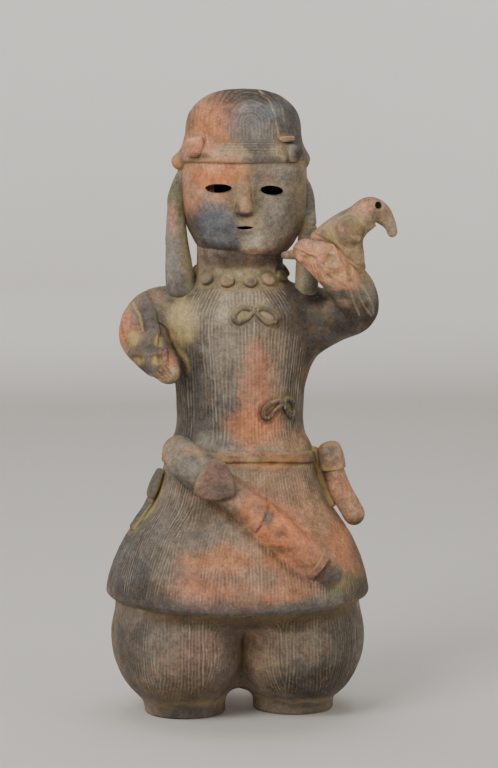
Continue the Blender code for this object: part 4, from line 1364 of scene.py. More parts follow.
TORSO_TONES = [
    ((-52, -50, 320), (30, 60, 90), "soot", 0.9),
    ((-34, -55, 315), (20, 60, 66), "soot", 0.6),
    ((-22, -55, 280), (20, 60, 20), "slate", 0.7),
    ((-58, -10, 300), (30, 60, 80), "slate", 0.7),
    ((-12, -65, 345), (34, 50, 60), "ash", 0.6),
    ((-14, -62, 300), (16, 50, 40), "slate", 0.6),
    ((-6, -60, 398), (44, 40, 18), "bone", 0.5),
    ((-40, -50, 395), (16, 40, 24), "ash", 0.6),
    ((8, -65, 352), (14, 50, 20), "salmon", 0.45),
    ((11, -65, 318), (20, 50, 52), "salmon", 0.9),
    ((16, -64, 296), (26, 50, 26), "salmon", 0.7),
    ((8, -64, 282), (34, 50, 20), "ember", 0.6),
    ((44, -45, 385), (24, 40, 26), "soot", 0.75),
    ((34, -55, 398), (14, 30, 14), "slate", 0.7),
    ((54, -40, 330), (20, 50, 70), "slate", 0.8),
    ((44, -50, 340), (10, 50, 30), "slate", 0.6),
    ((60, -30, 320), (12, 50, 70), "umber", 0.6),
    ((50, -50, 296), (16, 50, 30), "slate", 0.6),
    ((50, -40, 266), (30, 50, 14), "fawn", 0.8),
    ((-60, -40, 266), (34, 50, 16), "slate", 0.8),
    ((-30, -60, 268), (24, 30, 12), "ash", 0.6),
    # Painted shade on the neck under the chin
    ((0, -40, 442), (46, 42, 16), "soot", 0.9),
    ((44, -20, 432), (16, 36, 18), "black", 0.85),
    ((46, -24, 408), (12, 30, 14), "soot", 0.8),
    ((-36, -40, 404), (16, 30, 16), "olive", 0.6),
    ((8, -46, 426), (36, 30, 8), "bone", 0.6),
    # Painted shade on the neck under the chin, in brown
    ((0, -40, 438), (46, 42, 9), "umber", 0.6),
    ((-34, -36, 423), (8, 16, 7), "slate", 0.85),
    ((-17, -46, 421), (8, 16, 7), "plum", 0.5),
    ((6, -46, 421), (8, 16, 7), "slate", 0.9),
    ((24, -42, 423), (8, 16, 7), "fawn", 0.6),
    ((39, -32, 424), (9, 16, 9), "black", 0.9),
    ((0, 65, 340), (70, 40, 90), "dun", 0.7),
    ((-30, 60, 380), (40, 40, 40), "slate", 0.6),
    ((-62, -30, 318), (22, 60, 66), "soot", 0.75),
    ((-54, -40, 338), (14, 40, 24), "soot", 0.6),
    # right arm
    ((-66, -10, 396), (40, 46, 26), "olive", 0.9),
    ((-84, -20, 402), (16, 30, 9), "plum", 0.6),
    ((-60, -26, 398), (14, 20, 14), "soot", 0.6),
    ((-60, -32, 382), (13, 30, 24), "sand", 0.8),
    ((-52, -40, 385), (12, 30, 20), "sand", 0.5),
    ((-100, -20, 366), (34, 50, 36), "fawn", 0.7),
    ((-116, -20, 374), (12, 40, 26), "ember", 0.75),
    ((-102, -30, 356), (12, 30, 20), "olive", 0.5),
    ((-106, -30, 376), (13, 30, 9), "salmon", 0.8),
    ((-98, -30, 386), (9, 30, 12), "slate", 0.6),
    ((-90, -36, 386), (10, 30, 26), "slate", 0.9),
    ((-90, -40, 358), (12, 30, 16), "slate", 0.9),
    ((-80, -34, 374), (11, 30, 24), "slate", 0.7),
    ((-92, -40, 340), (18, 30, 9), "slate", 0.9),
    ((-73, -46, 341), (10, 26, 16), "salmon", 0.7),
    ((-80, -46, 330), (12, 26, 8), "sand", 0.6),
    ((-104, -30, 336), (16, 26, 9), "soot", 0.6),
    ((-68, -50, 334), (10, 26, 10), "sand", 0.7),
    # left arm
    ((90, -30, 372), (38, 44, 26), "slate", 0.9),
    ((118, -30, 392), (26, 44, 34), "soot", 0.7),
    ((92, -38, 382), (24, 40, 16), "soot", 0.9),
    ((124, -24, 384), (14, 40, 22), "black", 0.6),
    ((66, -20, 364), (30, 40, 28), "soot", 0.7),
    ((60, -30, 390), (18, 40, 26), "soot", 0.75),
    ((74, -30, 390), (14, 40, 12), "olive", 0.5),
    # Painted shadow: the dark hollow under the hawk's fist, between the forearm and the shoulder
    ((70, -35, 403), (17, 30, 11), "black", 1.0),
    ((112, -50, 412), (14, 24, 10), "ash", 0.55),
    ((121, -44, 400), (7, 24, 16), "ash", 0.6),
    ((74, -66, 442), (34, 24, 24), "rose", 0.95),
    ((94, -62, 424), (16, 24, 15), "rose", 0.85),
    ((92, -62, 408), (24, 24, 7), "slate", 0.7),
    ((68, -64, 432), (22, 24, 14), "rose", 0.8),
    ((44, -54, 446), (10, 12, 8), "fawn", 0.6),
    ((54, -60, 453), (16, 20, 8), "salmon", 0.6),
    ((66, -66, 446), (18, 24, 12), "rose", 0.6),
    ((80, -66, 440), (9, 20, 9), "sand", 0.5),
]


def pit(points, place, size):
    """1 over the floor of an oval hollow seen from the front, 0 past its rim."""
    reach = np.hypot((points[:, 0] - place[0]) / size[0], (points[:, 2] - place[1]) / size[1])
    return 1 - eased(0.6, 1.2, reach + 0.25 * mottle(points, 5, 67))


def hand_marks(p):
    """Ridges, hollows and finger scores on the hawk's fist, painted shade round its hollows and in its
    scores, and the pale flutes of the forearm.
    """
    ridges = [
        [(47, 454), (57, 450), (66, 445.5), (69.5, 436), (80, 427), (92, 419.5)],
        [(79, 454), (70.5, 445.5), (69.5, 436.5), (87, 435.5)],
        [(80.5, 454), (87, 439), (90.5, 432), (94, 418)],
    ]
    hollows = [((59, 443.5), (5.8, 2.8)), ((77.5, 442), (3.6, 4.8))]
    hollows += [((81, 428), (5.4, 3.6)), ((96, 432), (3.4, 5.6))]
    scores = [[(62.5, 438), (69, 422)], [(66, 437.5), (70.5, 424)], [(60, 436), (66, 422)]]
    scores += [[(76, 431), (79.5, 432.5), (85, 431)]]
    flutes = [[(105, 415), (108, 404), (114.5, 394), (121, 386.5)]]
    flutes += [[(108, 418), (116, 407), (121.5, 396), (123, 388)]]
    flutes += [[(98.5, 411.5), (103.5, 399), (109, 387.5)]]
    # dark is painted shade: round each hollow's sloping side and along each finger score
    raised, dirty, dark, pale = np.zeros((4, len(p)))
    for line in ridges:
        raised = np.maximum(raised, 2.2 * traced(p, line, 2.8, 0.7))
    for place, size in hollows:
        floor = pit(p, place, size)
        raised -= 2.8 * floor
        dirty = np.maximum(dirty, 0.6 * floor)
        dark = np.maximum(dark, 0.5 - 0.8 * np.abs(floor - 0.5))
    for line in scores:
        gap = seen_from_front(p, line)
        raised -= 0.8 * stroke(gap, 1.0, 1.0)
        dark = np.maximum(dark, 0.5 * stroke(gap, 1.0, 1.0))
    for line in flutes:
        gap = seen_from_front(p, line)
        raised += 1.4 * stroke(gap, 2.2, 1.0)
        pale = np.maximum(pale, 0.55 * stroke(gap, 1.5, 1.0))
    return raised, dirty, dark, pale


def sleeve_marks(p):
    """Raised straps, the knot round them and finger scores on the right forearm and fist, with painted shade
    along the straps' edges, round the recesses and in the scores.
    """
    straps = [
        ([(-95, 403), (-88, 388), (-86, 372), (-90, 354), (-87, 338)], 7.0, 3.2),
        ([(-104, 353.5), (-91, 354), (-78, 354.5)], 4.6, 3.6),
        ([(-106, 351), (-99, 340), (-91, 334.5), (-83, 333.5), (-76.5, 339), (-76, 353)], 3.0, 2.4),
        ([(-104, 398), (-98, 386), (-96, 374)], 1.6, -1.6),
        ([(-117, 389), (-117, 372), (-112, 356), (-104, 344)], 3.2, 1.4),
        ([(-112, 382), (-104, 376), (-97, 377)], 2.4, 1.4),
    ]
    recesses = [((-105, 367), (6, 9)), ((-82, 364), (5.2, 6))]
    recesses += [((-83.5, 346.5), (5, 4.8)), ((-99.5, 346), (5.5, 4.4))]
    scores = [[(-81, 337), (-75, 329)], [(-75, 341), (-70, 333)], [(-78, 339), (-72.5, 331)]]
    # dark is painted shade: along each strap's edges, round each recess's sloping side and in each score
    raised, dirty, dark, strap = np.zeros((4, len(p)))
    for line, wide, high in straps:
        gap = seen_from_front(p, line)
        dark = np.maximum(dark, 0.5 * stroke(np.abs(gap - wide), 1.3, 1.0))
        if high < 0:
            raised += high * stroke(gap, wide)
            dirty = np.maximum(dirty, 0.8 * stroke(gap, wide))
        else:
            raised = np.maximum(raised, high * stroke(gap, wide, 0.35))
        strap = np.maximum(strap, stroke(gap, wide * 0.9, 0.3) * (high > 2))
    for place, size in recesses:
        floor = pit(p, place, size)
        raised -= 2.6 * floor
        dirty = np.maximum(dirty, 0.85 * floor)
        dark = np.maximum(dark, 0.5 - np.abs(floor - 0.5))
    for line in scores:
        gap = seen_from_front(p, line)
        raised -= 0.8 * stroke(gap, 1.2, 1.0)
        dark = np.maximum(dark, 0.6 * stroke(gap, 1.2))
    return raised, dirty, dark, strap


def make_torso():
    """The trunk with both arms, the collar of pellets and the two tied ribbons."""
    torso = torso_form()
    right_arm = right_arm_form()
    left_arm, thumb, armpit = left_arm_forms()
    thumb.crisp = 1.6
    left_arm.crisp = armpit.crisp = 30
    limbs = [torso, right_arm, left_arm, armpit]
    lute(limbs, [], 14)
    bows = bow_forms()
    trim = pellet_forms() + bows
    forms = limbs + [thumb] + trim
    piece = fused("torso_and_arms", forms, [hollow_body(COLLAR_HEIGHT + 40, BELT_HEIGHT - 14)])
    wiped(piece, limbs, 16, rounds=10)

    def comb(p):
        """Grooves down the trunk, clear of the arms, the collar, the sash and the left shoulder."""
        clear = eased(1, 12, np.minimum.reduce([limb.field(p) for limb in limbs[1:]]))
        band = eased(COLLAR_HEIGHT + 2, COLLAR_HEIGHT - 12, p[:, 2])
        band = band * eased(BELT_HEIGHT + 4, BELT_HEIGHT + 20, p[:, 2])
        phase, press = combed(p, size_of("torso_teeth"), strokes=9, seed=11)
        in_shade = 1 - eased(34, 46, p[:, 0]) * eased(362, 376, p[:, 2])
        return phase, press * clear * band * in_shade

    def marks(p, normals):
        """Both fists, the right sleeve, a faint lapel, painted shade in the fists' and sleeve's scores and
        edges, and soil at the neck, the ribbons and the armpit.
        """
        front = facing_front(normals)
        hand_raised, hand_dirty, hand_shade, flutes = hand_marks(p)
        sleeve_raised, sleeve_dirty, sleeve_shade, strap = sleeve_marks(p)
        left = p[:, 0] > 40
        right = p[:, 0] < -62
        raised = (hand_raised * left + sleeve_raised * right) * front
        dirty = (hand_dirty * left + sleeve_dirty * right) * front
        raised -= 0.5 * traced(p, [(17, 363), (23, 339), (27, 317)], 2.0, 1.0) * front
        neck = 0.35 * (1 - eased(3, 14, np.abs(p[:, 2] - COLLAR_HEIGHT - 4)))
        ribbon = np.zeros(len(p))
        insides = [[(-6, 386.5), (2.5, 392)], [(13, 391), (20, 386.5)]]
        insides += [[(19, 296), (28, 302)], [(42, 302), (48, 295)]]
        for line in insides:
            ribbon = np.maximum(ribbon, stroke(round_body(p, line), 2.4, 0.5))
        dirty = np.maximum(np.maximum(dirty, neck * (0.5 + 0.5 * mottle(p, 9, 63))), 0.95 * ribbon * front)
        fold = np.linalg.norm((p - (-58, -30, 378)) / (1, 1.6, 1.4), axis=1)
        under_arm = 0.55 * (1 - eased(4, 22, fold))
        strap = 0.6 * strap * right * front * (0.8 + 0.3 * mottle(p, 7, 64))
        # Painted shade from the fists and the sleeve, laid on in brown
        dark = (hand_shade * left + sleeve_shade * right) * front
        tied = 1 - eased(-0.4, 1.4, np.min([loop.field(p) for loop in bows], axis=0))
        flutes = 0.7 * flutes * left * front
        stains = [(0.8 * strap, "slate"), (dark, "umber"), (flutes, "bone"), (0.75 * tied, "slate")]
        return raised, np.maximum(dirty, under_arm), 1 - 0.8 * ribbon, *stains

    worked(piece, forms, "dun", TORSO_TONES, 10, comb, marks=marks, dirt=6.0)
    return placed(piece)


# ---- hawk ----


def hawk_forms():
    """The hawk's spine from tail to beak, its feet on the fist, and its two wings."""
    stations = [(72, -34, 459, 9), (84, -42, 465, 13.5), (97, -50, 471, 16), (108, -54, 479, 14.5)]
    stations += [(118, -55, 486, 14), (127, -56.5, 484.5, 10.6), (133.2, -58, 478, 7.6)]
    stations += [(136.6, -59, 472, 5.8), (138, -59.5, 466.8, 5.0)]
    spine = Roll(stations, 110, 1.0)
    feet = Roll([(94, -51, 462, 15), (101, -54, 446, 11.5), (107, -55, 434, 6.5)], 80, 1.4)
    lean = math.radians(-28)
    wings = [Ball((x, y, 468), (11.5, 3.4, 13.5), lean) for x, y in ((97, -64.5), (93, -35.5))]
    return [spine, feet] + wings


HAWK_TONES = [
    ((100, -50, 465), (60, 40, 60), "sand", 0.4),
    ((68, -40, 459), (13, 20, 9), "salmon", 0.8),
    ((92, -60, 470), (14, 22, 18), "ash", 0.6),
    ((90, -50, 486), (16, 20, 9), "slate", 0.6),
    ((92, -66, 470), (15, 16, 8), "salmon", 0.4),
    ((120, -58, 492), (22, 26, 14), "dun", 0.4),
    ((112, -66, 492), (12, 20, 10), "salmon", 0.7),
    ((118, -60, 500), (16, 20, 5), "slate", 0.4),
    ((102, -50, 488), (26, 16, 9), "slate", 0.45),
    ((124, -66, 478), (16, 20, 9), "olive", 0.5),
    ((139, -60, 470), (9, 12, 12), "ash", 0.6),
    ((104, -60, 450), (14, 20, 14), "olive", 0.35),
    ((112, -60, 462), (7, 20, 18), "slate", 0.5),
    ((78, -40, 462), (14, 20, 12), "dun", 0.6),
    ((112, -60, 456), (8, 20, 12), "slate", 0.5),
    ((108, -60, 434), (8, 20, 5), "umber", 0.7),
]


def make_hawk():
    """The hawk on the fist, with a hooked beak, poked eyes and low wings."""
    forms = hawk_forms()
    spine, feet, *wings = forms
    lute([spine, feet], [], 8)
    eyes = [[(124, y, 492.5, 3.9), (124, y + run, 492.5, 3.4)] for y, run in ((-76, 14), (-34, -14))]
    piece = fused("hawk", forms, [Roll(eye, 32, 1.0, front=(0, 0, 1)) for eye in eyes])
    wiped(piece, [spine, feet, *wings], 8)

    def comb(p):
        """Leaning grooves over the lower back."""
        back = eased(14, 4, np.linalg.norm((p - (84, -55, 469)) / (1.0, 2.5, 1.0), axis=1))
        tilted = p[:, 0] * 0.97 + p[:, 2] * 0.24 + 1.2 * mottle(p, 12, 51)
        return tilted / 3.2, 0.8 * back * pressed(p, 52)

    def marks(p, normals):
        """The wing's edge, a line before the tail, the ledge over the fist, and a ring round the eye."""
        front = facing_front(normals)
        wing = seen_from_front(p, [(85, 466), (88, 477), (97, 483), (105, 476), (106, 464)])
        tail = seen_from_front(p, [(76, 472), (80, 462), (82, 453)])
        ledge = seen_from_front(p, [(67, 464), (83, 454), (94, 443), (106, 434.5)])
        raised = -0.7 * stroke(wing, 1.3, 1.0) - 0.8 * stroke(tail, 1.3, 1.0) - 1.4 * stroke(ledge, 1.6, 1.0)
        eye = np.hypot(p[:, 0] - 124, p[:, 2] - 492.5)
        raised += 0.7 * stroke(np.abs(eye - 5.4), 1.5, 1.0)
        soil = 0.25 * stroke(wing, 1.6) + 0.25 * stroke(tail, 1.6) + 0.35 * stroke(ledge, 2)
        return raised * front, soil * front, np.ones(len(p))

    worked(piece, forms, "fawn", HAWK_TONES, 50, comb, marks=marks, dirt=2.5)
    return placed(piece)


# ---- head, cap and locks ----


def head_form(inset=0.0, columns=380, spacing=1.5):
    """The head, with a jaw of r (1 - d^1.75)^0.53 for d from 0 at the cheeks to 1 at the chin."""
    r = HEAD_RADIUS - inset
    low = CHIN_HEIGHT - 3 + inset
    jaw = 63 - inset
    profile = [(r * 0.9, BRIM_HEIGHT + 14), (r, BRIM_HEIGHT - 8)]
    drops = (0, 0.2, 0.4, 0.6, 0.8, 0.93, 1)
    profile += [(r * (1 - drop**1.75) ** 0.53, low + jaw * (1 - drop)) for drop in drops]
    return Turned(profile, columns, HEAD_DEPTH, (HEAD_X, 0), spacing, front_share=0.3)


def leaf(centre, length, opening, tilt=0.0, depth=30.0):
    """A leaf-shaped cutter that runs straight back: (l/2 cos a, o/2 sin a |sin a|^0.25), leant by a tilt."""
    angle = np.linspace(0, 2 * math.pi, 25)[:-1]
    x = length / 2 * np.cos(angle)
    z = opening / 2 * np.sin(angle) * np.abs(np.sin(angle)) ** 0.25
    c, s = math.cos(math.radians(tilt)), math.sin(math.radians(tilt))
    outline = np.column_stack([x * c + z * s, z * c - x * s])
    return Slab(centre, outline.tolist(), depth, (0, -1, 0), columns=96, rows=16, square=16)


HEAD_TONES = [
    ((-38, -50, 482), (28, 40, 19), "smoke", 0.9),
    ((-28, -52, 470), (28, 40, 20), "smoke", 0.95),
    ((-22, -50, 455), (34, 40, 16), "smoke", 0.85),
    # Painted shade on the face's left edge, beside the lock
    ((-54, -26, 466), (19, 44, 36), "soot", 0.85),
    # Painted shade under the jaw: this patch and the next
    ((-24, -40, 446), (40, 40, 13), "soot", 0.95),
    ((14, -44, 443), (34, 40, 8), "umber", 0.8),
    ((-50, -26, 505), (14, 40, 30), "salmon", 0.75),
    ((-30, -50, 522), (30, 40, 16), "ember", 0.95),
    ((-24, -54, 528), (26, 30, 8), "rose", 0.5),
    ((-12, -56, 523), (17, 30, 10), "ember", 0.6),
    ((-26, -54, 511), (24, 30, 8), "ember", 0.8),
    ((-26, -54, 499), (18, 30, 5), "salmon", 0.6),
    ((34, -50, 518), (34, 40, 16), "ash", 0.8),
    ((18, -54, 520), (12, 30, 8), "plum", 0.6),
    ((30, -50, 485), (32, 40, 26), "ash", 0.9),
    ((46, -40, 480), (14, 40, 26), "slate", 0.5),
    ((14, -52, 456), (18, 30, 11), "bone", 0.8),
    ((8, -52, 446), (22, 30, 7), "salmon", 0.4),
    ((30, -50, 456), (20, 30, 12), "ash", 0.6),
    ((6, -56, 476), (13, 30, 8), "sand", 0.7),
    ((50, -20, 495), (16, 40, 34), "olive", 0.7),
    ((40, -30, 446), (26, 40, 14), "umber", 0.6),
    ((-2, -62, 503), (8, 16, 22), "fawn", 0.85),
    ((-13, -56, 505), (5, 16, 16), "olive", 0.5),
    ((11, -56, 499), (6, 16, 16), "olive", 0.5),
    # Painted shadow under the nose and on its left side: this patch and the next
    ((0, -60, 484), (11, 14, 5), "soot", 0.95),
    ((-9, -58, 489), (4, 14, 10), "umber", 0.7),
    ((0, 60, 490), (60, 40, 50), "dun", 0.7),
]


# The face's soft relief: each line, how far it stands out in mm, and its half width in mm
FEATURES = [
    ([(-4, 524), (-18, 523), (-34, 519)], 1.4, 8),
    ([(3, 524), (18, 523), (34, 517)], 1.4, 8),
    ([(-36, 507), (-14, 507)], -1.1, 9),
    ([(15, 508), (36, 504)], -1.1, 9),
    ([(-8, 474.5), (5, 474.5)], 0.8, 3),
    ([(-7, 467), (5, 467)], 0.7, 3),
    ([(0, 452), (3, 451)], 1.2, 13),
]


def make_head():
    """The face, with a wedge of a nose, and eyes and mouth cut through to the hollow head."""
    head = head_form()
    bridge = [(-0.5, -50.5, 523, 5.4, 5.2), (-1, -54.5, 509, 5.8, 6.4)]
    bridge += [(-1.6, -57, 497, 7.0, 8), (-2, -57.5, 487.5, 8.6, 9)]
    nose = Roll(bridge, 90, 0.8, blunt=(1.0, 0.5))
    nose.crisp = 3.0
    lute([head, nose], [], 6)
    front = -HEAD_RADIUS * HEAD_DEPTH
    eyes = [leaf((-25, front * 0.92, 508), 24.0, 8.2, -1), leaf((25.5, front * 0.88, 506), 22.0, 8.2, 6)]
    mouth = leaf((-0.5, front, 471.5), 15.5, 4.2)
    throat = Turned([(31, 480), (31, 400)], 72, BODY_DEPTH, spacing=10)
    hollow = head_form(size_of("head_wall"), 72, 6)
    piece = fused("head", [head, nose], [*eyes, mouth, hollow, throat])
    wiped(piece, [head, nose], 5, rounds=4)

    def marks(p, normals):
        """The face's soft relief, and soil under the brim, at the eyes, on the jaw and behind the cheeks."""
        facing = facing_front(normals)
        raised = np.zeros(len(p))
        for line, height, width in FEATURES:
            raised += height * traced(p, line, width, 1.0)
        brim = 0.3 * eased(BRIM_HEIGHT - 9, BRIM_HEIGHT - 1, p[:, 2])
        eyes_soil = 0.4 * traced(p, [(15, 512), (36, 508)], 4)
        eyes_soil = np.maximum(eyes_soil, 0.35 * traced(p, [(-12, 512), (-10, 500)], 5))
        jaw = 0.5 * (1 - eased(CHIN_HEIGHT + 2, CHIN_HEIGHT + 10, p[:, 2]))
        cheek = 0.12 * eased(44, 54, np.abs(p[:, 0] - HEAD_X))
        soil = np.maximum.reduce([brim, eyes_soil * facing, jaw, cheek]) * (0.6 + 0.5 * mottle(p, 12, 71))
        return raised * facing, soil, np.ones(len(p))

    worked(piece, [head, nose], "dun", HEAD_TONES, 60, marks=marks, dirt=4.0)
    return placed(piece)


def cap_form(inset=0.0, columns=460, spacing=1.4):
    """The cap's dome: r (1 - t^2.3)^0.42 for t from the brim's height to the crown, over a rolled brim."""
    top = CAP_TOP - inset
    lip = 0 if inset else 2.5
    r = HEAD_RADIUS - inset
    lifts = (1, 0.97, 0.9, 0.78, 0.6, 0.4, 0.2, 0)
    dome = [(r * 0.93 * (1 - lift**2.3) ** 0.42, top - 42 * (1 - lift)) for lift in lifts]
    dome += [
        (r * 0.965, BRIM_HEIGHT + 14),
        (r + lip, BRIM_HEIGHT + 3),
        (r + lip * 0.6, BRIM_HEIGHT - 1.5),
        (r * 0.9, BRIM_HEIGHT - 3),
    ]
    return Turned(dome, columns, HEAD_DEPTH, (CAP_X, 0), spacing, front_share=0.3, per_span=8)


CAP_TONES = [
    ((-36, -40, 572), (34, 50, 36), "ember", 0.85),
    ((-26, -45, 585), (24, 40, 18), "salmon", 0.6),
    ((-48, -30, 547), (24, 40, 16), "salmon", 0.85),
    ((-52, -10, 575), (14, 40, 30), "umber", 0.35),
    ((8, -50, 574), (26, 40, 32), "smoke", 0.75),
    ((40, -40, 572), (32, 50, 40), "smoke", 0.8),
    ((48, -30, 580), (20, 50, 30), "soot", 0.6),
    # The crown's smoke, and a painted shade over it against the top light: this patch and the next
    ((2, -30, 600), (50, 50, 17), "soot", 0.9),
    ((10, -20, 602), (40, 50, 12), "black", 0.4),
    ((-20, -40, 590), (26, 40, 12), "umber", 0.4),
    ((18, -50, 560), (26, 30, 10), "ash", 0.55),
    ((-18, -56, 543), (26, 20, 8), "sand", 0.6),
    ((14, -56, 545), (24, 20, 8), "slate", 0.7),
    ((30, -50, 546), (9, 20, 10), "sand", 0.5),
    ((50, -36, 560), (26, 40, 22), "slate", 0.6),
    ((20, -56, 535), (30, 30, 4), "slate", 0.8),
    ((-20, -56, 535), (20, 30, 4), "salmon", 0.8),
    ((54, -20, 545), (18, 40, 24), "slate", 0.8),
    ((-44, -44, 552), (12, 18, 11), "rose", 0.7),
    # Painted shadow under the left lug
    ((-40, -48, 538), (12, 18, 4), "umber", 0.8),
    ((38, -50, 546), (8, 20, 12), "sand", 0.5),
    ((51, -46, 541), (7, 20, 9), "soot", 0.8),
    ((41, -46, 556), (11, 16, 4), "fawn", 0.8),
    ((-60, -2, 530), (10, 14, 12), "ember", 0.7),
    ((-64, -2, 524), (8, 14, 6), "umber", 0.6),
    ((62, -4, 530), (9, 16, 13), "slate", 0.8),
    ((0, 60, 560), (60, 40, 40), "slate", 0.6),
]

# Each lug of the cap: its x, its middle's lift over the brim, half width, half height, thickness and lean
LUGS = [(-44.5, 12.0, 8.8, 9.2, 19, -0.45), (45, 7.0, 7.8, 8.8, 19, -0.45), (41, 20, 8.6, 2.8, 8, 0.0)]


def make_cap():
    """The round cap with its band, two lugs over the brow and a ball at each side."""
    cap = cap_form()
    places = [((-57.5, 0, 531), (7.6, 8, 7.6)), ((58, -5, 531), (8, 9, 8.6))]
    balls = [Ball(place, size, columns=56, rows=29) for place, size in places]
    lute([cap] + balls, [], 6)
    lugs = []
    for x, lift, wide, tall, thick, lean in LUGS:
        back = math.sqrt((HEAD_RADIUS * HEAD_DEPTH) ** 2 - (x - CAP_X) ** 2)
        out = unit(np.array([x - CAP_X, -back - 4, 0]))
        place = np.array([CAP_X, 0, BRIM_HEIGHT + lift]) + out * (HEAD_RADIUS * 0.965)
        shares = ((1, 0.5), (0.75, 0.95), (0, 1), (-0.75, 0.95), (-1, 0.5))
        corners = [(wide * a, tall * b) for a, b in shares]
        corners += [(-a, -b) for a, b in corners]
        facing = out + np.array([0, 0, lean])
        lugs.append(Slab(place, corners, thick, facing, columns=120, rows=50, square=3.0))
        lugs[-1].crisp = 2.0
    lugs += balls
    piece = fused("cap", [cap] + lugs, [cap_form(size_of("head_wall"), 72, 6)])
    wiped(piece, [cap] + lugs, 6, rounds=4)

    def comb(p):
        """Arches over the crown, level lines on the band in front, and upright lines behind."""
        x = p[:, 0] - 6
        arch = np.hypot(x, np.maximum(p[:, 2] - 569, 0)) + 1.4 * mottle(p, 16, 81)
        back = p[:, 1] > 10
        arch = np.where(back, p[:, 0] + 1.5 * mottle(p, 24, 83), arch)
        level = p[:, 2] + 0.7 * mottle(p, 30, 82)
        on_band = eased(556, 552, p[:, 2]) * eased(BRIM_HEIGHT + 5, BRIM_HEIGHT + 9, p[:, 2]) * ~back
        on_band = on_band * eased(-32, -20, p[:, 0]) * eased(34, 24, p[:, 0])
        lower = eased(552, 558, p[:, 2]) * eased(34, 26, p[:, 0])
        lower = lower + back * eased(BRIM_HEIGHT + 4, BRIM_HEIGHT + 12, p[:, 2])
        phase = np.where(on_band > 0.5, level / 2.5, arch / 3.4)
        arched = 0.4 * lower * np.where(back, 2, 1 + eased(-12, -24, p[:, 0]))
        return phase, pressed(p, 84) * np.clip(np.maximum(0.7 * on_band, arched), 0, 1)

    def marks(p, normals):
        """A small dent near the crown, soil under the brim, and two pale worn lines."""
        dent = np.linalg.norm(p[:, [0, 2]] - (-4, 591), axis=1)
        raised = -0.8 * stroke(dent, 2.2, 1.0) * facing_front(normals)
        under = 0.3 * (1 - eased(BRIM_HEIGHT - 3, BRIM_HEIGHT + 1, p[:, 2]))
        edge = traced(p, [(17, 598), (24, 590), (28.5, 577), (30.5, 566), (33, 554)], 1.7, 1.0)
        edge = np.maximum(edge, 0.7 * traced(p, [(33, 590), (36.5, 583), (38, 571)], 1.5, 1.0))
        edge = edge * (p[:, 1] < 0) * np.clip(0.6 + 0.8 * mottle(p, 7, 85), 0.1, 1)
        return raised + 0.3 * edge, under, np.ones(len(p)), (0.6 * edge, "ridge")

    worked(piece, [cap] + lugs, "dun", CAP_TONES, 70, comb, marks=marks, dirt=3.5, fade=4.0)
    return placed(piece)


LOCK_TONES = {
    "right": [
        ((-62, -6, 500), (14, 20, 26), "olive", 0.8),
        ((-60, -12, 440), (18, 20, 40), "smoke", 0.3),
        ((-56, -12, 462), (9, 20, 50), "olive", 0.6),
        ((-66, -14, 480), (7, 14, 22), "salmon", 0.4),
        ((-58, -14, 408), (22, 24, 22), "slate", 0.95),
        ((-56, -18, 399), (20, 22, 9), "soot", 0.9),
        ((-56, -22, 396), (16, 16, 6), "black", 0.9),
    ],
    "left": [
        ((64, -20, 500), (12, 20, 24), "slate", 0.7),
        ((58, -24, 466), (8, 20, 24), "olive", 0.6),
        ((62, -26, 400), (18, 24, 18), "umber", 0.6),
        ((66, -26, 425), (12, 20, 16), "slate", 0.5),
    ],
}


# Each lock's stations, from under the cap down to its foot
LOCKS = {
    "right": [(-53, 3, 520, 7), (-60, 0, 500, 8.6), (-61.5, -3, 480, 9), (-61, -6, 456, 11)]
    + [(-57.5, -10, 409, 14.5)],
    "left": [(55, -3, 520, 6), (62, -7, 502, 7.4), (64, -11, 482, 7.6), (63, -15, 458, 9.4)]
    + [(61.5, -18, 403, 11.8)],
}


def make_lock(side):
    """A long side lock that thickens as it hangs from under the cap to the shoulder."""
    stations = LOCKS[side]
    lock = Roll(stations, 96, 1.2)
    piece = fused(f"lock_{side}", [lock, Ball(stations[1][:3], (4, 4, 4), columns=12, rows=7)])
    middle_x, _, heights, _ = np.array(stations[::-1]).T
    outward = 1 if side == "left" else -1

    def marks(p, normals):
        """The left lock's crack, the right one's chipped foot, and soil at the foot and on the inner side."""
        raised = np.zeros(len(p))
        soil = 0.35 * (1 - eased(390, 402, p[:, 2]))
        if side == "left":
            crack = seen_from_front(p, [(58, 472), (64, 469.5), (72, 471)])
            raised -= 1.2 * stroke(crack, 1.6, 1.0)
            soil = np.maximum(soil, 0.5 * stroke(crack, 2.4))
        else:
            chip = np.linalg.norm((p - (-57, -24, 396)) / (10, 9, 5), axis=1)
            raised -= (2.6 + 1.6 * mottle(p, 3, 92)) * (1 - eased(0.7, 1.2, chip))
        inner = 0.45 * eased(0, 8, -outward * (p[:, 0] - np.interp(p[:, 2], heights, middle_x)))
        return raised, np.maximum(soil, inner), np.ones(len(p))

    worked(piece, [lock], "ash", LOCK_TONES[side], 80, marks=marks)
    return placed(piece)


# ---- stage ----


# The stage, in metres: the floor's flat radius, the radius of its curve, the wall above, and its sides
FLOOR_FLAT = 4.6
FLOOR_BEND = 2.2
FLOOR_WALL = 3.0
FLOOR_SIDES = 96

# The lamps: the name of each, its place, the length of its sides in metres, and its tint
LAMPS = [
    ("key", (-1.9, -2.3, 2.6), 1.6, (1.0, 0.985, 0.96)),
    ("fill", (2.4, -2.0, 1.6), 2.0, (1.0, 1.0, 1.0)),
    ("top", (0, 0.6, 3.2), 2.2, (1.0, 1.0, 1.0)),
]

# The lamps that wash the wall: how many, how far out and how high they hang, and where they aim
WASH_COUNT = 6
WASH_RADIUS = 2.0
WASH_HEIGHT = 3.0
WASH_SIZE = 1.6
WASH_REACH = 3.4
WASH_RISE = 0.6

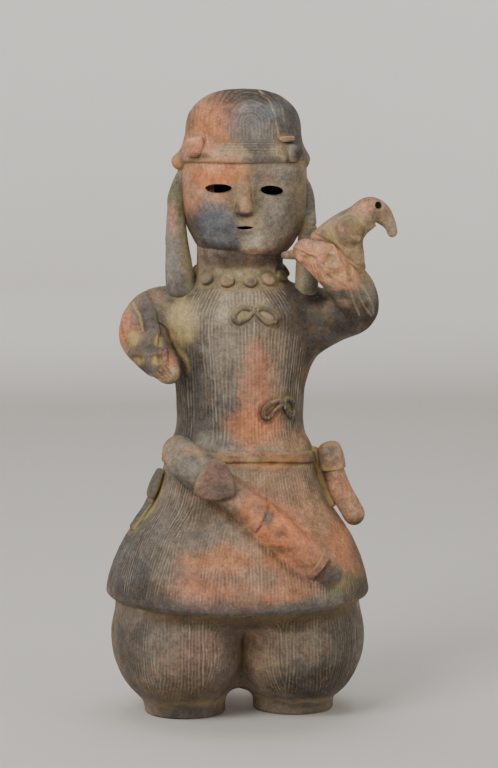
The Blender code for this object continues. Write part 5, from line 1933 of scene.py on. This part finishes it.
# The camera: its turn to the figure's right, distance, height, downward pitch, and lens and sensor in mm
CAMERA_TURN = math.radians(-6.0)
CAMERA_DISTANCE = 3.2
CAMERA_HEIGHT = 0.7
CAMERA_PITCH = math.radians(6.82)
CAMERA_LENS = 157.36
CAMERA_SENSOR = 36


def plain(name, colour, roughness):
    """A plain, nearly matt material."""
    material = bpy.data.materials.new(name)
    material.use_nodes = True
    shader = material.node_tree.nodes["Principled BSDF"]
    shader.inputs["Base Color"].default_value = (*tone(colour), 1.0)
    shader.inputs["Roughness"].default_value = roughness
    shader.inputs["Specular IOR Level"].default_value = 0.2
    return material


def make_floor():
    """A wide pale floor that curves up all round into a wall: a disc, a quarter circle, then a cylinder."""
    bend = np.linspace(0, math.pi / 2, 13)
    edge = FLOOR_FLAT + FLOOR_BEND
    radius = np.concatenate([[0.6, 2.0, 3.4], FLOOR_FLAT + FLOOR_BEND * np.sin(bend), [edge]])
    height = np.concatenate([[0, 0, 0], FLOOR_BEND * (1 - np.cos(bend)), [FLOOR_BEND + FLOOR_WALL]])
    turn = np.linspace(0, 2 * math.pi, FLOOR_SIDES, endpoint=False)
    points = [(0, 0, 0)]
    for r, z in zip(radius, height):
        points += [(r * x, r * y, z) for x, y in zip(np.cos(turn), np.sin(turn))]
    faces = [(0, 1 + k, 1 + (k + 1) % FLOOR_SIDES) for k in range(FLOOR_SIDES)]
    for row, k in pairings(range(len(radius) - 1), range(FLOOR_SIDES)):
        a = 1 + row * FLOOR_SIDES + k
        b = 1 + row * FLOOR_SIDES + (k + 1) % FLOOR_SIDES
        faces.append((a, a + FLOOR_SIDES, b + FLOOR_SIDES, b))
    mesh = bpy.data.meshes.new("floor")
    mesh.from_pydata(points, [], faces)
    mesh.shade_smooth()
    floor = bpy.data.objects.new("floor", mesh)
    floor.location.z = CAD_LOW.z
    bpy.context.scene.collection.objects.link(floor)
    floor.data.materials.append(plain("studio_paper", "floor", 0.9))
    return floor


def make_light(name, place, target, size, watts, tint=(1.0, 1.0, 1.0)):
    """A square soft lamp at a place, aimed at a target."""
    light = bpy.data.lights.new(name, "AREA")
    light.shape = "RECTANGLE"
    light.size = light.size_y = size
    light.energy = watts
    light.color = tint
    lamp = bpy.data.objects.new(name, light)
    lamp.location = place
    lamp.rotation_euler = (Vector(target) - Vector(place)).to_track_quat("-Z", "Y").to_euler()
    lamp.visible_camera = False
    bpy.context.scene.collection.objects.link(lamp)
    return lamp


def make_camera():
    """A long lens, a little above the figure and a little to its right."""
    middle = (CAD_LOW + CAD_HIGH) / 2
    data = bpy.data.cameras.new("camera")
    data.lens = CAMERA_LENS
    data.sensor_width = CAMERA_SENSOR
    camera = bpy.data.objects.new("camera", data)
    camera.location = (
        middle.x + CAMERA_DISTANCE * math.sin(CAMERA_TURN),
        middle.y - CAMERA_DISTANCE * math.cos(CAMERA_TURN),
        CAD_LOW.z + CAMERA_HEIGHT,
    )
    camera.rotation_euler = (math.pi / 2 - CAMERA_PITCH, 0, CAMERA_TURN)
    bpy.context.scene.collection.objects.link(camera)
    bpy.context.scene.camera = camera
    return camera


def make_stage():
    """Pale floor, soft light from the upper left and front, a wash of light on the wall, and the camera."""
    world = bpy.data.worlds.new("world")
    world.use_nodes = True
    world.node_tree.nodes["Background"].inputs["Color"].default_value = (1.0, 0.99, 0.97, 1)
    world.node_tree.nodes["Background"].inputs["Strength"].default_value = 0.2
    bpy.context.scene.world = world
    middle = (CAD_LOW + CAD_HIGH) / 2
    sizes = bpy.context.scene.haniwa_sizes
    make_floor()
    for name, place, size, tint in LAMPS:
        make_light(f"{name}_light", place, middle, size, getattr(sizes, f"{name}_power"), tint)
    for n in range(WASH_COUNT):
        turn = 2 * math.pi * (n + 0.5) / WASH_COUNT
        x, y = WASH_RADIUS * math.cos(turn), WASH_RADIUS * math.sin(turn)
        target = (WASH_REACH * x, WASH_REACH * y, WASH_HEIGHT + WASH_RISE)
        make_light(f"wall_wash_{n}", (x, y, WASH_HEIGHT), target, WASH_SIZE, sizes.wash_power)
    make_camera()


# ---- the add-on ----


class HANIWA_OT_stage(bpy.types.Operator):
    """Make the floor, the lamps and the camera"""

    bl_idname = "haniwa.stage"
    bl_label = "Stage"

    def execute(self, context):
        make_stage()
        return {"FINISHED"}


class HANIWA_OT_trousers(bpy.types.Operator):
    """Make the two fat trouser legs on their ankle rings"""

    bl_idname = "haniwa.trousers"
    bl_label = "Trousers"

    def execute(self, context):
        make_trousers()
        return {"FINISHED"}


class HANIWA_OT_skirt(bpy.types.Operator):
    """Make the flared skirt with its sash and the sword across it"""

    bl_idname = "haniwa.skirt"
    bl_label = "Skirt and sword"

    def execute(self, context):
        make_skirt()
        return {"FINISHED"}


class HANIWA_OT_hips(bpy.types.Operator):
    """Make what hangs at the hips: the capped sheath and the flat tool"""

    bl_idname = "haniwa.hips"
    bl_label = "Hip sheath and tool"

    def execute(self, context):
        make_hip_sheath()
        make_hip_tool()
        return {"FINISHED"}


class HANIWA_OT_torso(bpy.types.Operator):
    """Make the trunk, both arms, the collar of pellets and the tied ribbons"""

    bl_idname = "haniwa.torso"
    bl_label = "Torso and arms"

    def execute(self, context):
        make_torso()
        return {"FINISHED"}


class HANIWA_OT_hawk(bpy.types.Operator):
    """Make the hawk on the left fist"""

    bl_idname = "haniwa.hawk"
    bl_label = "Hawk"

    def execute(self, context):
        make_hawk()
        return {"FINISHED"}


class HANIWA_OT_head(bpy.types.Operator):
    """Make the hollow head with its cut eyes and mouth"""

    bl_idname = "haniwa.head"
    bl_label = "Head"

    def execute(self, context):
        make_head()
        return {"FINISHED"}


class HANIWA_OT_cap(bpy.types.Operator):
    """Make the round cap with its lugs and side balls"""

    bl_idname = "haniwa.cap"
    bl_label = "Cap"

    def execute(self, context):
        make_cap()
        return {"FINISHED"}


class HANIWA_OT_locks(bpy.types.Operator):
    """Make the two long side locks of hair"""

    bl_idname = "haniwa.locks"
    bl_label = "Locks"

    def execute(self, context):
        for side in ("left", "right"):
            make_lock(side)
        return {"FINISHED"}


OPERATORS = (
    HANIWA_OT_stage,
    HANIWA_OT_trousers,
    HANIWA_OT_skirt,
    HANIWA_OT_hips,
    HANIWA_OT_torso,
    HANIWA_OT_hawk,
    HANIWA_OT_head,
    HANIWA_OT_cap,
    HANIWA_OT_locks,
)


class HANIWA_PT_panel(bpy.types.Panel):
    """Sizes, colours and the pieces to make"""

    bl_idname = "HANIWA_PT_panel"
    bl_label = "Haniwa falconer"
    bl_space_type = "VIEW_3D"
    bl_region_type = "UI"
    bl_category = "Haniwa"

    def draw(self, context):
        """Lists the sizes, the colours and the pieces."""
        for group in (context.scene.haniwa_sizes, context.scene.haniwa_colours):
            box = self.layout.box()
            for name in type(group).__annotations__:
                box.prop(group, name)
        for operator in OPERATORS:
            self.layout.operator(operator.bl_idname)


CLASSES = (HaniwaSizes, HaniwaColours, *OPERATORS, HANIWA_PT_panel)


def register():
    """Registers the classes, and gives the scene its sizes and colours."""
    for made in CLASSES:
        bpy.utils.register_class(made)
    bpy.types.Scene.haniwa_sizes = bpy.props.PointerProperty(type=HaniwaSizes)
    bpy.types.Scene.haniwa_colours = bpy.props.PointerProperty(type=HaniwaColours)


def unregister():
    """Takes the scene's sizes and colours, and the classes, away again."""
    del bpy.types.Scene.haniwa_colours
    del bpy.types.Scene.haniwa_sizes
    for made in reversed(CLASSES):
        bpy.utils.unregister_class(made)


def main():
    """Makes the stage and every piece."""
    register()
    for operator in OPERATORS:
        name = operator.bl_idname.split(".")[1]
        getattr(bpy.ops.haniwa, name)()


if __name__ == "__main__":
    main()
